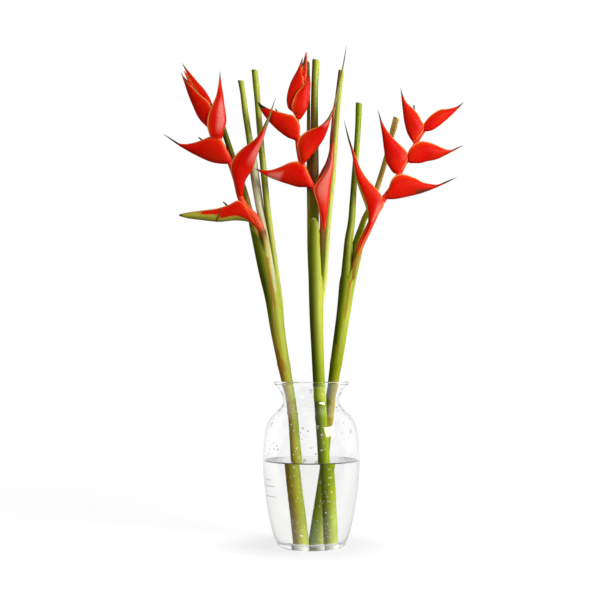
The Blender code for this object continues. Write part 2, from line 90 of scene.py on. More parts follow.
# Drops on the glass above the water, and bubbles on the stems below it. Density is drops to a square metre,
# and Smallest and Largest are times the radius in metres.
DROP_RADIUS = 0.001
DROP_FLATNESS = 0.55
WALL_DROPS = dict(Density=2600.0, Smallest=0.6, Largest=1.9, Seed=7)
WALL_MIST = dict(Density=5200.0, Smallest=0.35, Largest=0.9, Seed=11)
BUBBLES = dict(Density=17000.0, Smallest=0.3, Largest=0.8)
BUBBLES_SEED = 20
BUBBLES_SPAN = (12, 122)

# Shape details of bracts and stems
BRACT_ROWS = 80
BRACT_STEPS = 14
KEEL_SHARPNESS = 1.15
ROOT_SHARPNESS = 0.7
CLASP = 4.6
CLASP_LAP = 2.0
CLASP_ROWS = 7
CLASP_TURN = 72.0
TIP_HALF = 0.9
TIP_DEEP = 2.2
TIP_GROWTH = 4.5
TIP_FADE = 0.12
RIBS = 7
RIB = 0.09
DENT = 0.35
WAVE = 0.4
LIP_BEAD = 0.35
RIDGE = 0.05
CUT_CUP = 0.6
SHEATH_WALL = 1.0
SPLASH = 2.0

# Veins of the skins: how many across, how close along, and how deep in metres
BRACT_VEINS = dict(Count=30.0, Stretch=5.0)
BRACT_VEIN_DEPTH = 0.0006
STEM_VEIN_COUNT = 60.0
STALK_VEIN_COUNT = 26.0
STEM_VEIN_STRETCH = 6.0
STEM_VEIN_DEPTH = 0.0005

# How much of a stem's gloss is a coat
STEM_COAT = 0.3

# Colours, as linear red, green and blue
BRACT_BRIGHT = (0.64, 0.003, 0.0003)
BRACT_DEEP = (0.32, 0.001, 0.0002)
BRACT_ORANGE = (0.76, 0.045, 0.002)
BRACT_INSIDE = (0.28, 0.006, 0.003)
# Salmon of the painted sheen: the highlight where a bract faces the key light.
PAINTED_SHEEN_SALMON = (0.85, 0.33, 0.25)
BRACT_GREEN = (0.36, 0.40, 0.04)
BRACT_STAIN = (0.10, 0.035, 0.012)
LIP_ORANGE = (0.75, 0.26, 0.07)
LIP_GREEN = (0.42, 0.42, 0.08)
TIP_DARK = (0.035, 0.025, 0.008)
TIP_OLIVE = (0.16, 0.15, 0.05)
TIP_GREY = (0.18, 0.19, 0.06)
VEIN_SHADE = (0.45, 0.50, 0.35)
MOTTLE_SHADE = (0.70, 0.66, 0.50)
SHEATH_CREAM = (0.62, 0.54, 0.13)
SHEATH_BROWN = (0.34, 0.12, 0.01)
CUT_PALE = (0.60, 0.50, 0.30)
CUT_BROWN = (0.26, 0.15, 0.05)
# The inside of an open sheath top is painted dark: painted shade in the hollow.
HOLLOW_PAINTED_SHADE = (0.10, 0.09, 0.01)
# The stems' greens run from a painted shade, the darkest olive, to a painted light, the lightest greens: the stops put
# the darker ones on a stem's left side and the lighter ones on its right, where the key light falls.
PAINTED_SHADE_OLIVE = (0.065, 0.08, 0.001)
OLIVE = (0.14, 0.17, 0.001)
LEAF = (0.26, 0.34, 0.004)
PAINTED_LIT_LEAF = (0.44, 0.49, 0.055)
PAINTED_BRIGHT_LEAF = (0.58, 0.62, 0.11)
GOLD = (0.36, 0.25, 0.012)
MUSTARD = (0.40, 0.25, 0.02)
# The golden stalk's own colour, lightened as painted light where it stands in the blooms' shadow.
HONEY_PAINTED_LIGHT = (0.72, 0.48, 0.10)
CREAM = (0.66, 0.62, 0.38)
RUST = (0.17, 0.07, 0.015)
# The stems' cut feet: their own pale cut colour, brightened to near white as painted light, since under the vase they
# get little light.
FOOT_PALE_AND_PAINTED_LIGHT = (0.95, 0.93, 0.85)
# The flower stalks' orange is their own colour at the base and tip; where it is the right-hand colour beside red, it is
# a painted highlight on the side the key light falls on.
STALK_RED = (0.74, 0.028, 0.008)
STALK_ORANGE = (0.80, 0.10, 0.03)
FLORET_GREEN = (0.14, 0.17, 0.03)
NUB_DARK = (0.03, 0.025, 0.010)
GLASS_TINT = (0.995, 0.998, 0.996)
WATER_TINT = (0.995, 0.990, 0.982)
BUBBLE_TINT = (0.92, 0.94, 0.92)
# The dark thread at the water's edge is painted shade, standing in for the dark line that the edge shows through the
# glass.
PAINTED_MENISCUS_DARK = (0.03, 0.04, 0.02)
MARK_GREY = (0.30, 0.31, 0.30)
CLEAR_SHADOW = (0.90, 0.91, 0.905)

# Paper, room and lights. The losses are shares of the light that the vase mirrors.
PAPER_GREY = 0.24
PAPER_BOUNCE = 0.25
# PAPER_SHADE is the paper's glow at the vase's foot, lowered there as a painted shadow.
PAPER_SHADE = 0.66
PAPER_GLOW = 0.845
PAPER_FAR_GLOW = 0.985
PAPER_HALF = 40.0
AMBIENT = 0.14
MIRROR_LOSS = 0.10
ROOM_LOSS = 0.92
LIGHTS_AIM = (0.0, 0.0, 0.4)
LIGHTS = (
    ("key_light", (1.5, -1.35, 1.1), 0.9, 52.0, True),
    ("side_light", (2.1, 0.1, 0.9), 0.9, 30.0, False),
    ("fill_light", (-1.0, -2.3, 0.9), 1.5, 20.0, False),
)

# Camera, in metres, with the lens in millimetres
VIEWER = (0.0, -1.5, 0.266)
LENS_LENGTH = 60.25
LENS_SENSOR = 36.0
LENS_SHIFT = (-0.0188, 0.0822)
LENS_TILT = 91.0

# The three shoots. x and z are measured in the front view, and y is the depth. A trunk runs through
# (x, y, z, half width, half depth) and a leaf stalk, after its slot, through (x, y, z, radius), from below up.
# plane is a bloom's middle plane, as (x, z, y there, turn with x, lean with z). A flower stalk or floret runs
# through (x, z, radius), and a fourth number sets it back from that plane. Stops are (height, left colour, right
# colour);
# where the two differ, the left colour is a painted shade and the right a painted light from the key light on the
# right.
#
# Bracts go from the lowest up. Keel and lip run from the flower stalk to the tip, (x, z). near is given where the
# lip on the front side lies apart from the one behind it. half is half the greatest width, root half the
# width at the stalk, mouth the share of the width that the lips leave open, swing the way that the tip bends
# back, tip where the dark tip starts, and marks the patches of colour; the salmon sheen among them is painted
# sheen, a highlight where the bract faces the light.
LEFT = dict(
    first_seed=100,
    trunk=[(-10.4, -2, 0, 9.0, 9.0), (-21.6, -1, 120, 8.4, 8.4), (-30.5, 0, 215, 7.5, 7.5),
           (-39.8, 0, 263, 8.9, 8.9), (-50.7, 0, 323, 10.5, 10.0), (-57.2, -1, 368, 11.6, 10.5),
           (-63.5, -2, 402, 13.2, 11.5), (-72.0, -3, 451, 13.4, 12.5)],
    trunk_look=dict(
        stops=[(8.6, FOOT_PALE_AND_PAINTED_LIGHT, FOOT_PALE_AND_PAINTED_LIGHT), (10.2, GOLD, PAINTED_LIT_LEAF), (300, GOLD, PAINTED_LIT_LEAF),
               (345, OLIVE, PAINTED_LIT_LEAF), (390, PAINTED_SHADE_OLIVE, PAINTED_LIT_LEAF), (451, OLIVE, PAINTED_LIT_LEAF)],
        swellings=((195, 0.8, 3.0), (268, 0.5, 6.0)),
        collar=((0, -26, -3.5), (60, -5, -1), (90, 5, 0), (140, 20, 1), (180, 31, 2.5), (226, 19, 1.2), (265, 0, 0),
                (295, -15, -1), (330, -26, -3), (360, -26, -3.5)),
        collar_reach=90.0, hollow=16.0,
        sheaths=((0.7, ((268, 250), (302, 235), (350, 252), (354, 262), (400, 278), (438, 292), (470, 300))),
                 (0.5, ((150, 20), (300, 40), (451, 60)))),
        streaks=((395, 60, 276, 14), (268, 14, 262, 14), (266, 10, 285, 8), (270, 34, 215, 60))),
    petioles=[
        ("leaf_stalk_olive",
         [(-70, 4, 400, 4.0), (-79, 4, 452, 6.8), (-86, 5, 475, 6.0), (-92.5, 5.5, 500, 4.9), (-99, 6, 525, 4.6),
          (-118.5, 6, 582, 4.5), (-135, 5, 632, 4.2)],
         dict(stops=[(465, OLIVE, MUSTARD), (628, PAINTED_SHADE_OLIVE, OLIVE)])),
        ("leaf_stalk_cream",
         [(-45, -3, 326, 2.2), (-53, -7.4, 368, 3.4), (-57.5, -9.3, 398, 3.8), (-62.3, -8.5, 428, 4.2),
          (-68.3, -4.5, 458, 4.8), (-78, 2, 510, 6.2), (-85, 0, 555, 6.6), (-92, -1, 603, 4.9),
          (-99, -2, 648, 4.5), (-104, -3, 684, 4.0), (-106, -3, 695, 4.3)],
         dict(swellings=((575, 0.5, 10.0),),
              stops=[(545, CREAM, CREAM), (575, MUSTARD, CREAM), (600, OLIVE, PAINTED_BRIGHT_LEAF), (698, OLIVE, PAINTED_LIT_LEAF)])),
        ("leaf_stalk_green",
         [(-41.5, 0, 306, 2.4), (-46.6, -2, 368, 3.6), (-51.2, -3, 398, 4.0), (-55.4, -4, 428, 4.3),
          (-59.8, -2, 458, 4.7), (-66, -3, 505, 4.8), (-71, -4, 555, 4.8), (-75, -5, 597, 4.6),
          (-78, -6, 632, 4.6), (-81, -7, 668, 4.5), (-85, -8, 711, 4.8)],
         dict(swellings=((683, 0.3, 3.0),), stops=[(437, OLIVE, PAINTED_BRIGHT_LEAF), (713, OLIVE, PAINTED_LIT_LEAF)])),
    ],
    plane=(-70, 460, -20, -0.15, -0.10),
    stalk=[(-62, 408, 3.6, 11), (-67, 440, 4.4, 6.5), (-74, 470, 5.0, 1), (-85, 491, 5.2, 0), (-98, 504, 5.0, 0),
           (-105, 517, 4.8, 0), (-113, 547, 4.6, 0), (-121, 571, 4.6, 0), (-129, 588, 4.4, 0), (-137, 603, 4.0, 0),
           (-146, 616, 3.2, 0), (-153, 634, 2.4, 0), (-163, 658, 2.2, 0), (-177, 683, 2.4, 0),
           (-186, 700, 1.5, 0), (-191, 710, 0.6, 0)],
    stalk_stops=[(432, SHEATH_CREAM, SHEATH_CREAM), (450, RUST, SHEATH_CREAM), (464, RUST, RUST),
                 (474, STALK_ORANGE, STALK_ORANGE), (500, STALK_RED, STALK_ORANGE), (520, STALK_RED, STALK_RED),
                 (685, STALK_RED, STALK_RED), (700, STALK_ORANGE, STALK_ORANGE), (708, TIP_OLIVE, TIP_OLIVE)],
    bracts=[
        dict(keel=[(-74, 461), (-83, 474), (-93, 482), (-110, 485), (-138, 483), (-167, 486), (-188, 489),
                   (-198, 492)],
             lip=[(-75, 463), (-84, 480), (-92, 495), (-99, 508), (-103, 513), (-109, 515), (-123, 509),
                  (-138, 504), (-165, 500), (-191, 496), (-198, 494)],
             half=8.5, swing=-4, tip=0.96, taper=9,
             marks=(("green", 0.98, 0.28, 0.0, 2.4), ("green", 0.80, 0.32, 0.0, 0.80), ("green", 0.46, 0.42, 0.0, 0.34),
                    ("stain", 0.585, 0.013, 0.5, 0.9), ("stain", 1.0, 0.05, 0.5, 1.0))),
        dict(keel=[(-108, 517), (-103, 522), (-101, 532), (-98, 546), (-91, 557), (-82, 580), (-71, 610), (-63, 636),
                   (-53, 670)],
             lip=[(-109, 519), (-113, 533), (-118, 550), (-121, 564), (-119, 574), (-115, 581), (-106, 591),
                  (-83, 609), (-67, 637), (-60, 650), (-53, 670)],
             half=9.0, swing=-7, tip=1.2, marks=(("painted_sheen", 0.58, 0.28, 0.12, 0.32), ("grey", 1.0, 0.42, 0.5, 2.0))),
        dict(keel=[(-119, 572), (-126, 570), (-132, 570), (-147, 572), (-173, 583), (-202, 600), (-222, 615)],
             lip=[(-120, 574), (-127, 590), (-133, 603), (-137, 609), (-143, 611), (-152, 611), (-162, 607),
                  (-173, 603), (-189, 600), (-199, 601), (-222, 615)],
             half=9.5, swing=4, tip=0.74, marks=(("stain", 0.85, 0.20, 1.0, 0.2),)),
        dict(keel=[(-134, 606), (-131, 619), (-127, 636), (-129, 651), (-132, 674), (-135, 693), (-137, 710)],
             lip=[(-150, 606), (-156, 629), (-154, 645), (-148, 660), (-143, 672), (-140, 686), (-137, 710)],
             half=11.0, mouth=0.95, swing=4, tip=0.86, marks=(("painted_sheen", 0.36, 0.3, 0.30, 0.26),)),
        dict(keel=[(-149, 618), (-158, 627), (-166, 635), (-179, 660), (-185, 675), (-191, 693), (-196, 708)],
             lip=[(-147, 630), (-152, 662), (-169, 678), (-180, 690), (-189, 699), (-196, 708)],
             near=[(-148, 630), (-153, 661), (-169, 676), (-180, 687), (-189, 696), (-196, 708)],
             half=7.2, root=4.2, wall=1.2, mouth=0.95, taper=4, swing=4, tip=0.95),
        dict(keel=[(-149, 642), (-148, 656), (-158, 679), (-169, 692), (-180, 705), (-194, 722)],
             lip=[(-158, 645), (-166, 664), (-173, 681), (-184, 701), (-194, 722)],
             near=[(-156, 645), (-164, 664), (-172, 681), (-180, 694), (-187, 708), (-194, 722)],
             half=4.0, root=3.2, wall=1.1, mouth=0.8, swing=4, tip=0.84),
        dict(keel=[(-152, 640), (-162, 660), (-172, 674), (-181, 688), (-186, 698), (-188.5, 708)],
             lip=[(-150, 652), (-160, 672), (-170, 688), (-178, 699), (-184, 706), (-188.5, 708)],
             half=3.4, root=2.4, wall=0.9, mouth=0.6, swing=3, tip=1.2, marks=(("green", 0.75, 0.5, 0.7, 0.3),)),
    ],
    florets=[
        [(-100, 503, 1.8), (-112, 504, 2.2), (-124, 506, 1.8), (-132, 513, 0.8)],
        [(-131, 590, 1.8), (-146, 597, 2.4), (-160, 603, 1.8), (-169, 610, 0.8)],
    ])
MIDDLE = dict(
    first_seed=200,
    trunk=[(24.5, -15, 0, 9.2, 9.2), (19.0, -20.5, 120, 8.6, 8.6), (13.0, -26.3, 215, 8.4, 8.4),
           (9.3, -27, 293, 8.9, 8.9), (7.6, -27, 340, 9.6, 9.6), (6.8, -27, 395, 10.3, 10.3),
           (6.2, -28, 440, 10.6, 12.0), (6.4, -29, 468, 10.6, 12.5)],
    trunk_look=dict(
        stops=[(8.6, FOOT_PALE_AND_PAINTED_LIGHT, FOOT_PALE_AND_PAINTED_LIGHT), (10.2, OLIVE, PAINTED_LIT_LEAF), (110, OLIVE, LEAF), (212, PAINTED_SHADE_OLIVE, LEAF),
               (220, LEAF, PAINTED_LIT_LEAF), (234, LEAF, PAINTED_LIT_LEAF), (240, PAINTED_SHADE_OLIVE, LEAF),
               (340, PAINTED_SHADE_OLIVE, PAINTED_LIT_LEAF), (468, OLIVE, PAINTED_LIT_LEAF)],
        swellings=((190, 0.6, 3.0), (222, 0.5, 5.0)),
        collar=((0, -60, -3.0), (40, -45, -1.5), (90, 0, 0), (150, 4, 0), (180, -12, 0), (205, -6, 0), (228, 12, 0),
                (248, 16, 0), (270, 14, 0), (290, 8, 0), (309, -10, -1.0), (336, -43, -2.5), (360, -60, -3.0)),
        collar_reach=150.0, hollow=16.0,
        sheaths=((0.7, ((300, 352), (362, 350), (425, 340), (483, 296))), (0.5, ((150, 150), (300, 160), (468, 170))))),
    petioles=[
        ("leaf_stalk_green",
         [(6, -23, 425, 4.8), (5.5, -23, 488, 5.8), (5.3, -22, 528, 6.0), (5, -21, 593, 5.8), (4.6, -20, 639, 5.5),
          (5, -20, 680, 5.2), (7, -20, 726, 5.5)],
         dict(stops=[(480, OLIVE, OLIVE), (540, RUST, RUST), (640, RUST, OLIVE), (690, OLIVE, PAINTED_LIT_LEAF)])),
        ("leaf_stalk_olive",
         [(2.5, -24, 320, 2.0), (0.4, -23, 380, 3.6), (-1.6, -20, 440, 4.2), (-2.8, -16, 500, 3.5),
          (-3.8, -14, 560, 3.3), (-4.0, -13, 610, 3.0), (-4.0, -13, 668, 2.3), (-4.2, -13, 724, 1.8)],
         dict(stops=[(440, OLIVE, MUSTARD), (724, MUSTARD, PAINTED_BRIGHT_LEAF)])),
        ("leaf_stalk_green",
         [(10, -24, 292, 2.4), (13, -21, 326, 3.2), (15.3, -18.8, 362, 3.6), (19.5, -17, 398, 4.0),
          (22, -18, 440, 4.2), (27, -18, 504, 4.4), (32, -18, 552, 4.4), (35, -18, 600, 4.4), (40, -18, 668, 4.5),
          (45, -18, 710, 4.3)],
         dict(stops=[(560, PAINTED_LIT_LEAF, PAINTED_BRIGHT_LEAF), (640, RUST, PAINTED_LIT_LEAF)])),
    ],
    plane=(15, 460, -37, -0.10, -0.03),
    stalk=[(13, 402, 3.4, 6), (15.5, 428, 3.9, 5), (16, 456, 4.4, 3), (17, 494, 4.8, 0), (8, 528, 4.6, 0),
           (-2, 542, 4.5, 0), (-8, 556, 4.4, 0), (-14, 570, 4.3, 0), (-18, 587, 4.1, 0), (-20, 602, 4.0, 0),
           (-21, 621, 3.4, 0), (-21, 640, 2.6, 0), (-18, 656, 2.4, 0), (-13, 676, 3.0, 0), (-10, 696, 3.0, 0),
           (-8.5, 713, 2.4, 0), (-7.5, 727, 1.3, 0), (-7, 738, 0.6, 0)],
    # Low down, the stalk is painted the shade olive as a painted shadow below the bloom.
    stalk_stops=[(425, PAINTED_SHADE_OLIVE, PAINTED_SHADE_OLIVE), (462, RUST, RUST), (476, STALK_RED, STALK_ORANGE),
                 (500, STALK_RED, STALK_RED), (705, STALK_RED, STALK_RED), (722, STALK_ORANGE, STALK_ORANGE),
                 (733, TIP_DARK, TIP_DARK)],
    bracts=[
        dict(keel=[(20, 473), (25, 506), (30, 545), (33, 568), (34, 591), (34, 623), (37, 656), (44, 692), (50, 725),
                   (53, 748)],
             lip=[(18, 474), (14, 492), (9, 512), (4, 534), (12, 554), (22, 573), (27, 591), (28, 610), (30, 628),
                  (34, 656), (42, 692), (49, 725), (53, 748)],
             near=[(18, 474), (14, 492), (9, 512), (4, 534), (14, 549), (25, 565), (29, 588), (32, 613), (33, 633),
                   (36, 660), (43, 692), (49.5, 725), (53, 748)],
             half=8.5, mouth=0.75, swing=6, tip=0.88,
             marks=(("painted_sheen", 0.30, 0.19, 0.45, 0.42), ("stain", 0.56, 0.13, 0.5, 2.0), ("grey", 0.80, 0.27, 0.5, 2.0))),
        dict(keel=[(4, 532), (-4, 534), (-10, 535), (-18, 535), (-33, 539), (-61, 549), (-72, 554), (-79, 559),
                   (-86, 564)],
             lip=[(3, 534), (-2, 548), (-7, 560), (-9, 567), (-14, 571), (-21, 574), (-30, 573), (-46, 566),
                  (-61, 561), (-79, 562), (-86, 564)],
             half=9.0, swing=2, tip=0.88, marks=(("painted_sheen", 0.66, 0.14, 0.2, 0.5), ("green", 0.8, 0.3, 0.0, 0.12))),
        dict(keel=[(-12, 569), (-8, 573), (-3, 579), (3, 586), (11, 596), (19, 608), (25, 623), (31, 642), (38, 663)],
             lip=[(-14, 570), (-18, 585), (-21, 598), (-18, 609), (-10, 617), (0, 622), (12, 627), (23, 637),
                  (31, 651), (38, 663)],
             half=9.0, swing=-6, tip=0.90, marks=(("grey", 0.80, 0.10, 0.6, 0.5), ("painted_sheen", 0.74, 0.14, 0.6, 0.5))),
        dict(keel=[(-21, 602), (-26, 606), (-34, 609), (-46, 617), (-61, 631), (-74, 648), (-82, 665)],
             lip=[(-20, 603), (-17, 615), (-17, 628), (-22, 638), (-27, 643), (-35, 645), (-53, 650), (-69, 656),
                  (-82, 665)],
             half=9.0, mouth=0.6, swing=5, tip=0.80, marks=(("stain", 0.85, 0.2, 1.0, 0.2),)),
        dict(keel=[(-16, 637), (-7, 651), (-3, 669), (-1, 690), (-2, 704)],
             lip=[(-27, 647), (-33, 660), (-29, 676), (-15, 692), (-2, 704)],
             near=[(-25, 645), (-29, 656), (-26, 668), (-22, 677), (-12, 688), (-2, 704)],
             half=8.5, root=4.2, wall=1.5, mouth=0.95, taper=4, swing=0, tip=0.95),
        dict(keel=[(-28, 648), (-34, 653), (-37, 664), (-36, 676), (-30, 695), (-21, 712), (-13, 731)],
             lip=[(-18, 652), (-12, 665), (-10, 684), (-11, 700), (-13, 716), (-13, 731)],
             near=[(-19, 652), (-14, 665), (-12, 684), (-12, 700), (-15, 717), (-13, 731)],
             half=4.9, root=3.4, wall=1.2, mouth=0.8, swing=0, tip=0.90),
        dict(keel=[(-9, 652), (-6, 676), (-6, 702), (-8, 722), (-8.5, 738)],
             lip=[(-20, 656), (-20, 684), (-17, 706), (-12, 724), (-8.5, 738)],
             half=3.0, root=2.6, wall=0.9, mouth=0.8, swing=0, tip=0.74, marks=(("green", 0.6, 0.4, 1.0, 0.3),)),
    ],
    florets=[[(-22, 618, 1.6), (-34, 632, 2.0), (-46, 643, 1.3), (-54, 653, 0.7)]])
RIGHT = dict(
    first_seed=300,
    trunk=[(3.6, 16, 0, 8.0, 8.0), (17.4, 12.2, 120, 7.8, 7.8), (29.4, 9, 215, 7.4, 7.4), (36.0, 7, 263, 8.2, 8.2),
           (40.6, 6, 295, 8.7, 8.7), (47.4, 4, 341, 9.5, 9.5), (55.2, 2, 396, 11.6, 11.0),
           (62.0, 0, 430, 13.2, 12.0)],
    trunk_look=dict(
        stops=[(8.6, FOOT_PALE_AND_PAINTED_LIGHT, FOOT_PALE_AND_PAINTED_LIGHT), (10.2, LEAF, PAINTED_LIT_LEAF), (110, LEAF, LEAF), (200, OLIVE, MUSTARD),
               (272, OLIVE, LEAF), (346, PAINTED_SHADE_OLIVE, PAINTED_LIT_LEAF), (430, OLIVE, LEAF)],
        swellings=((188, 0.6, 3.0), (272, 0.4, 5.0)),
        collar=((0, 13, -1.5), (20, 14, -1.5), (60, 8, -1), (90, 0, 0), (140, -20, -1), (180, -32, -1.5),
                (230, -34, -1), (270, -26, -0.5), (300, -8, -0.5), (330, 6, -1.0), (360, 13, -1.5)),
        collar_reach=90.0, hollow=16.0,
        sheaths=((0.7, ((250, 285), (272, 279), (346, 271), (398, 301), (430, 320))),
                 (0.5, ((140, 60), (290, 80), (430, 100)))),
        streaks=((372, 48, 284, 16),)),
    petioles=[
        ("leaf_stalk_green",
         [(40, 2, 300, 5.5), (45.5, 0.5, 345, 7.4), (49, -0.5, 372, 8.0), (52, -1.5, 400, 8.0), (54.4, -0.5, 430, 7.3),
          (56.2, 1, 456, 6.4), (60, 2, 482, 5.4), (62, 2, 510, 4.9), (64.5, 2, 548, 4.5), (67.5, 2, 588, 4.3),
          (70, 2, 625, 4.4), (71.5, 2, 661, 4.8)],
         dict(stops=[(385, PAINTED_SHADE_OLIVE, LEAF), (520, PAINTED_SHADE_OLIVE, PAINTED_LIT_LEAF), (661, OLIVE, LEAF)])),
        ("leaf_stalk_olive",
         [(58, 6, 380, 4.0), (63.5, 7, 425, 6.0), (69.5, 8, 458, 5.5), (74.5, 8.5, 473, 4.8), (79.5, 9, 488, 4.3),
          (88, 10, 505, 4.1), (99, 11, 536, 4.0), (109, 12, 568, 3.9), (119, 12, 607, 3.8), (124, 12, 626, 4.5),
          (127.5, 12, 639, 4.7)],
         dict(swellings=((625, 0.5, 3.0),),
              stops=[(470, OLIVE, LEAF), (500, MUSTARD, LEAF), (530, MUSTARD, HONEY_PAINTED_LIGHT), (570, MUSTARD, HONEY_PAINTED_LIGHT),
                     (600, HONEY_PAINTED_LIGHT, HONEY_PAINTED_LIGHT)])),
    ],
    plane=(80, 460, -11, 0.0, -0.03),
    stalk=[(60, 392, 3.4, 5), (65, 420, 4.4, 3), (74, 448, 4.9, 0), (83, 468, 5.0, 0), (93, 489, 4.8, 0),
           (106, 514, 4.5, 0), (120, 533, 4.3, 0), (128, 548, 4.1, 0), (140, 572, 3.9, 0), (149, 586, 3.7, 0),
           (155, 597, 3.5, 0), (161, 609, 3.0, 0), (169, 620, 2.4, 0), (177, 628, 1.8, 0)],
    stalk_stops=[(395, MUSTARD, RUST), (430, RUST, MUSTARD), (452, STALK_RED, STALK_ORANGE),
                 (480, STALK_RED, STALK_RED)],
    bracts=[
        dict(keel=[(69, 437), (79, 460), (85, 484), (82, 503), (75, 523), (66, 551), (61, 584), (54, 611), (49, 636)],
             lip=[(70, 438), (82, 462), (95, 487), (109, 513), (105, 523), (97, 533), (85, 546), (75, 561),
                  (65, 586), (58, 606), (51, 630), (49, 636)],
             half=9.0, swing=2, tip=0.77, marks=(("green", 0.5, 0.45, 0.0, 0.16), ("painted_sheen", 0.30, 0.09, 0.85, 0.3))),
        dict(keel=[(109, 518), (115, 517), (124, 517), (136, 519), (150, 522), (165, 526), (179, 531), (193, 537),
                   (219, 550)],
             lip=[(110, 519), (116, 534), (121, 547), (127, 553), (134, 555), (141, 554), (155, 549), (169, 542),
                  (179, 540), (195, 539), (208, 544), (219, 550)],
             half=9.0, swing=0, tip=0.78, marks=(("stain", 0.52, 0.14, 0.05, 0.26), ("green", 0.66, 0.16, 1.0, 0.15))),
        dict(keel=[(129, 555), (124, 556), (120, 560), (118, 563), (112, 574), (109, 591), (106, 615), (103, 634),
                   (100, 651)],
             lip=[(130, 556), (138, 565), (144, 574), (146, 581), (142, 590), (134, 598), (123, 609), (114, 620),
                  (106, 634), (100, 651)],
             half=9.5, swing=0, tip=0.82),
        dict(keel=[(143, 573), (150, 571), (154, 571), (162, 571), (174, 574), (188, 577), (201, 583), (214, 590),
                   (228, 598)],
             lip=[(143, 576), (145, 587), (150, 596), (157, 601), (164, 604), (175, 603), (184, 600), (197, 594),
                  (208, 591), (218, 594), (228, 598)],
             half=8.5, swing=0, tip=0.82, marks=(("green", 0.76, 0.14, 1.0, 0.2),)),
        dict(keel=[(152, 603), (149, 607), (145, 614), (140, 630), (137, 652), (134, 684)],
             lip=[(154, 603), (161, 611), (167, 619), (170, 626), (166, 634), (160, 645), (151, 655), (143, 663),
                  (137, 675), (134, 684)],
             half=9.0, swing=0, tip=0.84),
        dict(keel=[(165, 620), (174, 619), (182, 621), (190, 626), (200, 634), (210, 643), (220, 653), (229, 663)],
             lip=[(165, 623), (170, 632), (176, 640), (186, 648), (194, 652), (205, 653), (219, 657), (229, 663)],
             half=6.5, root=4.2, swing=0, tip=0.84, marks=(("stain", 0.66, 0.34, 1.0, 0.17),)),
    ],
    florets=[[(163, 612, 1.6), (158, 630, 2.4), (154, 646, 1.8), (154, 659, 0.8)]])
# The solids have six bracts on each shoot; a seventh is the small inner one of a bud
BRACTS_IN_FRAME = 6


# Shape helpers


def smooth(low, high, value):
    """0 below low, 1 above high, and an even S between them."""
    share = np.clip((value - low) / (high - low), 0.0, 1.0)
    return share * share * (3 - 2 * share)


def patch(value, centre, reach):
    """1 about the centre, fading to 0 at a reach from it."""
    return 1 - smooth(0.4, 1.0, np.abs(value - centre) / reach)


def curve(points, shares, reach):
    """Stations at shares of the length of a smooth curve through given points.

    The first reach columns are places; the others, such as radii, follow them.
    """
    given = np.array(points, float)
    steps = np.linalg.norm(np.diff(given[:, :reach], axis=0), axis=1)
    at = np.concatenate([[0.0], np.cumsum(steps)])
    slope = np.gradient(given, at, axis=0)
    fine = np.linspace(0.0, at[-1], 60 * len(given))
    left = np.clip(np.searchsorted(at, fine, side="right") - 1, 0, len(given) - 2)
    width = (at[left + 1] - at[left])[:, None]
    u = (fine[:, None] - at[left][:, None]) / width
    line = (
        (2 * u**3 - 3 * u**2 + 1) * given[left]
        + (u**3 - 2 * u**2 + u) * width * slope[left]
        + (3 * u**2 - 2 * u**3) * given[left + 1]
        + (u**3 - u**2) * width * slope[left + 1]
    )
    run = np.linalg.norm(np.diff(line[:, :reach], axis=0), axis=1)
    along = np.concatenate([[0.0], np.cumsum(run)])
    wanted = np.asarray(shares) * along[-1]
    return np.stack([np.interp(wanted, along, line[:, k]) for k in range(given.shape[1])], axis=1)


def seen(x, z, y):
    """Places measured in the front view, moved along the line of sight to their depth."""
    share = (SIGHT_DISTANCE + y) / SIGHT_DISTANCE
    return np.stack([x * share, y + 0 * share, SIGHT_HEIGHT + (z - SIGHT_HEIGHT) * share], axis=-1)


def depth(plane, x, z):
    """Depth of a bloom's middle plane, which turns with x and leans with z."""
    x0, z0, y0, turn, lean = plane
    return y0 + turn * (x - x0) + lean * (z - z0)


def unit(vectors):
    return vectors / np.maximum(np.linalg.norm(vectors, axis=-1, keepdims=True), 1e-9)


def grid_faces(rows, columns, start=0, wrap=False):
    """Quads between the rows of a grid of points, closed round the columns where it wraps."""
    faces = []
    for i in range(rows - 1):
        for k in range(columns if wrap else columns - 1):
            a, b = start + i * columns + k, start + i * columns + (k + 1) % columns
            faces.append((a, b, b + columns, a + columns))
    return faces


def linked(name, data):
    """A new object in the scene."""
    made = bpy.data.objects.new(name, data)
    bpy.context.scene.collection.objects.link(made)
    return made


def piece(name, points, faces, skin, masks=(), tint=None, sharp=40):
    """One closed mesh from points in millimetres, its faces turned outwards, with its colour masks."""
    mesh = bpy.data.meshes.new(name)
    mesh.from_pydata((np.asarray(points) * MM).tolist(), [], faces)
    for mask, values in dict(masks).items():
        layer = mesh.attributes.new(mask, "FLOAT", "POINT")
        layer.data.foreach_set("value", np.asarray(values, np.float32).ravel())
    if tint is not None:
        layer = mesh.attributes.new("tint", "FLOAT_COLOR", "POINT")
        colours = np.concatenate([tint, np.ones((len(tint), 1))], axis=1)
        layer.data.foreach_set("color", colours.astype(np.float32).ravel())
    shape = bmesh.new()
    shape.from_mesh(mesh)
    bmesh.ops.recalc_face_normals(shape, faces=shape.faces)
    if shape.calc_volume(signed=True) < 0:
        bmesh.ops.reverse_faces(shape, faces=shape.faces)
    shape.to_mesh(mesh)
    shape.free()
    mesh.shade_smooth()
    mesh.set_sharp_from_angle(angle=math.radians(sharp))
    mesh.materials.append(skin)
    return linked(name, mesh)


# Bracts


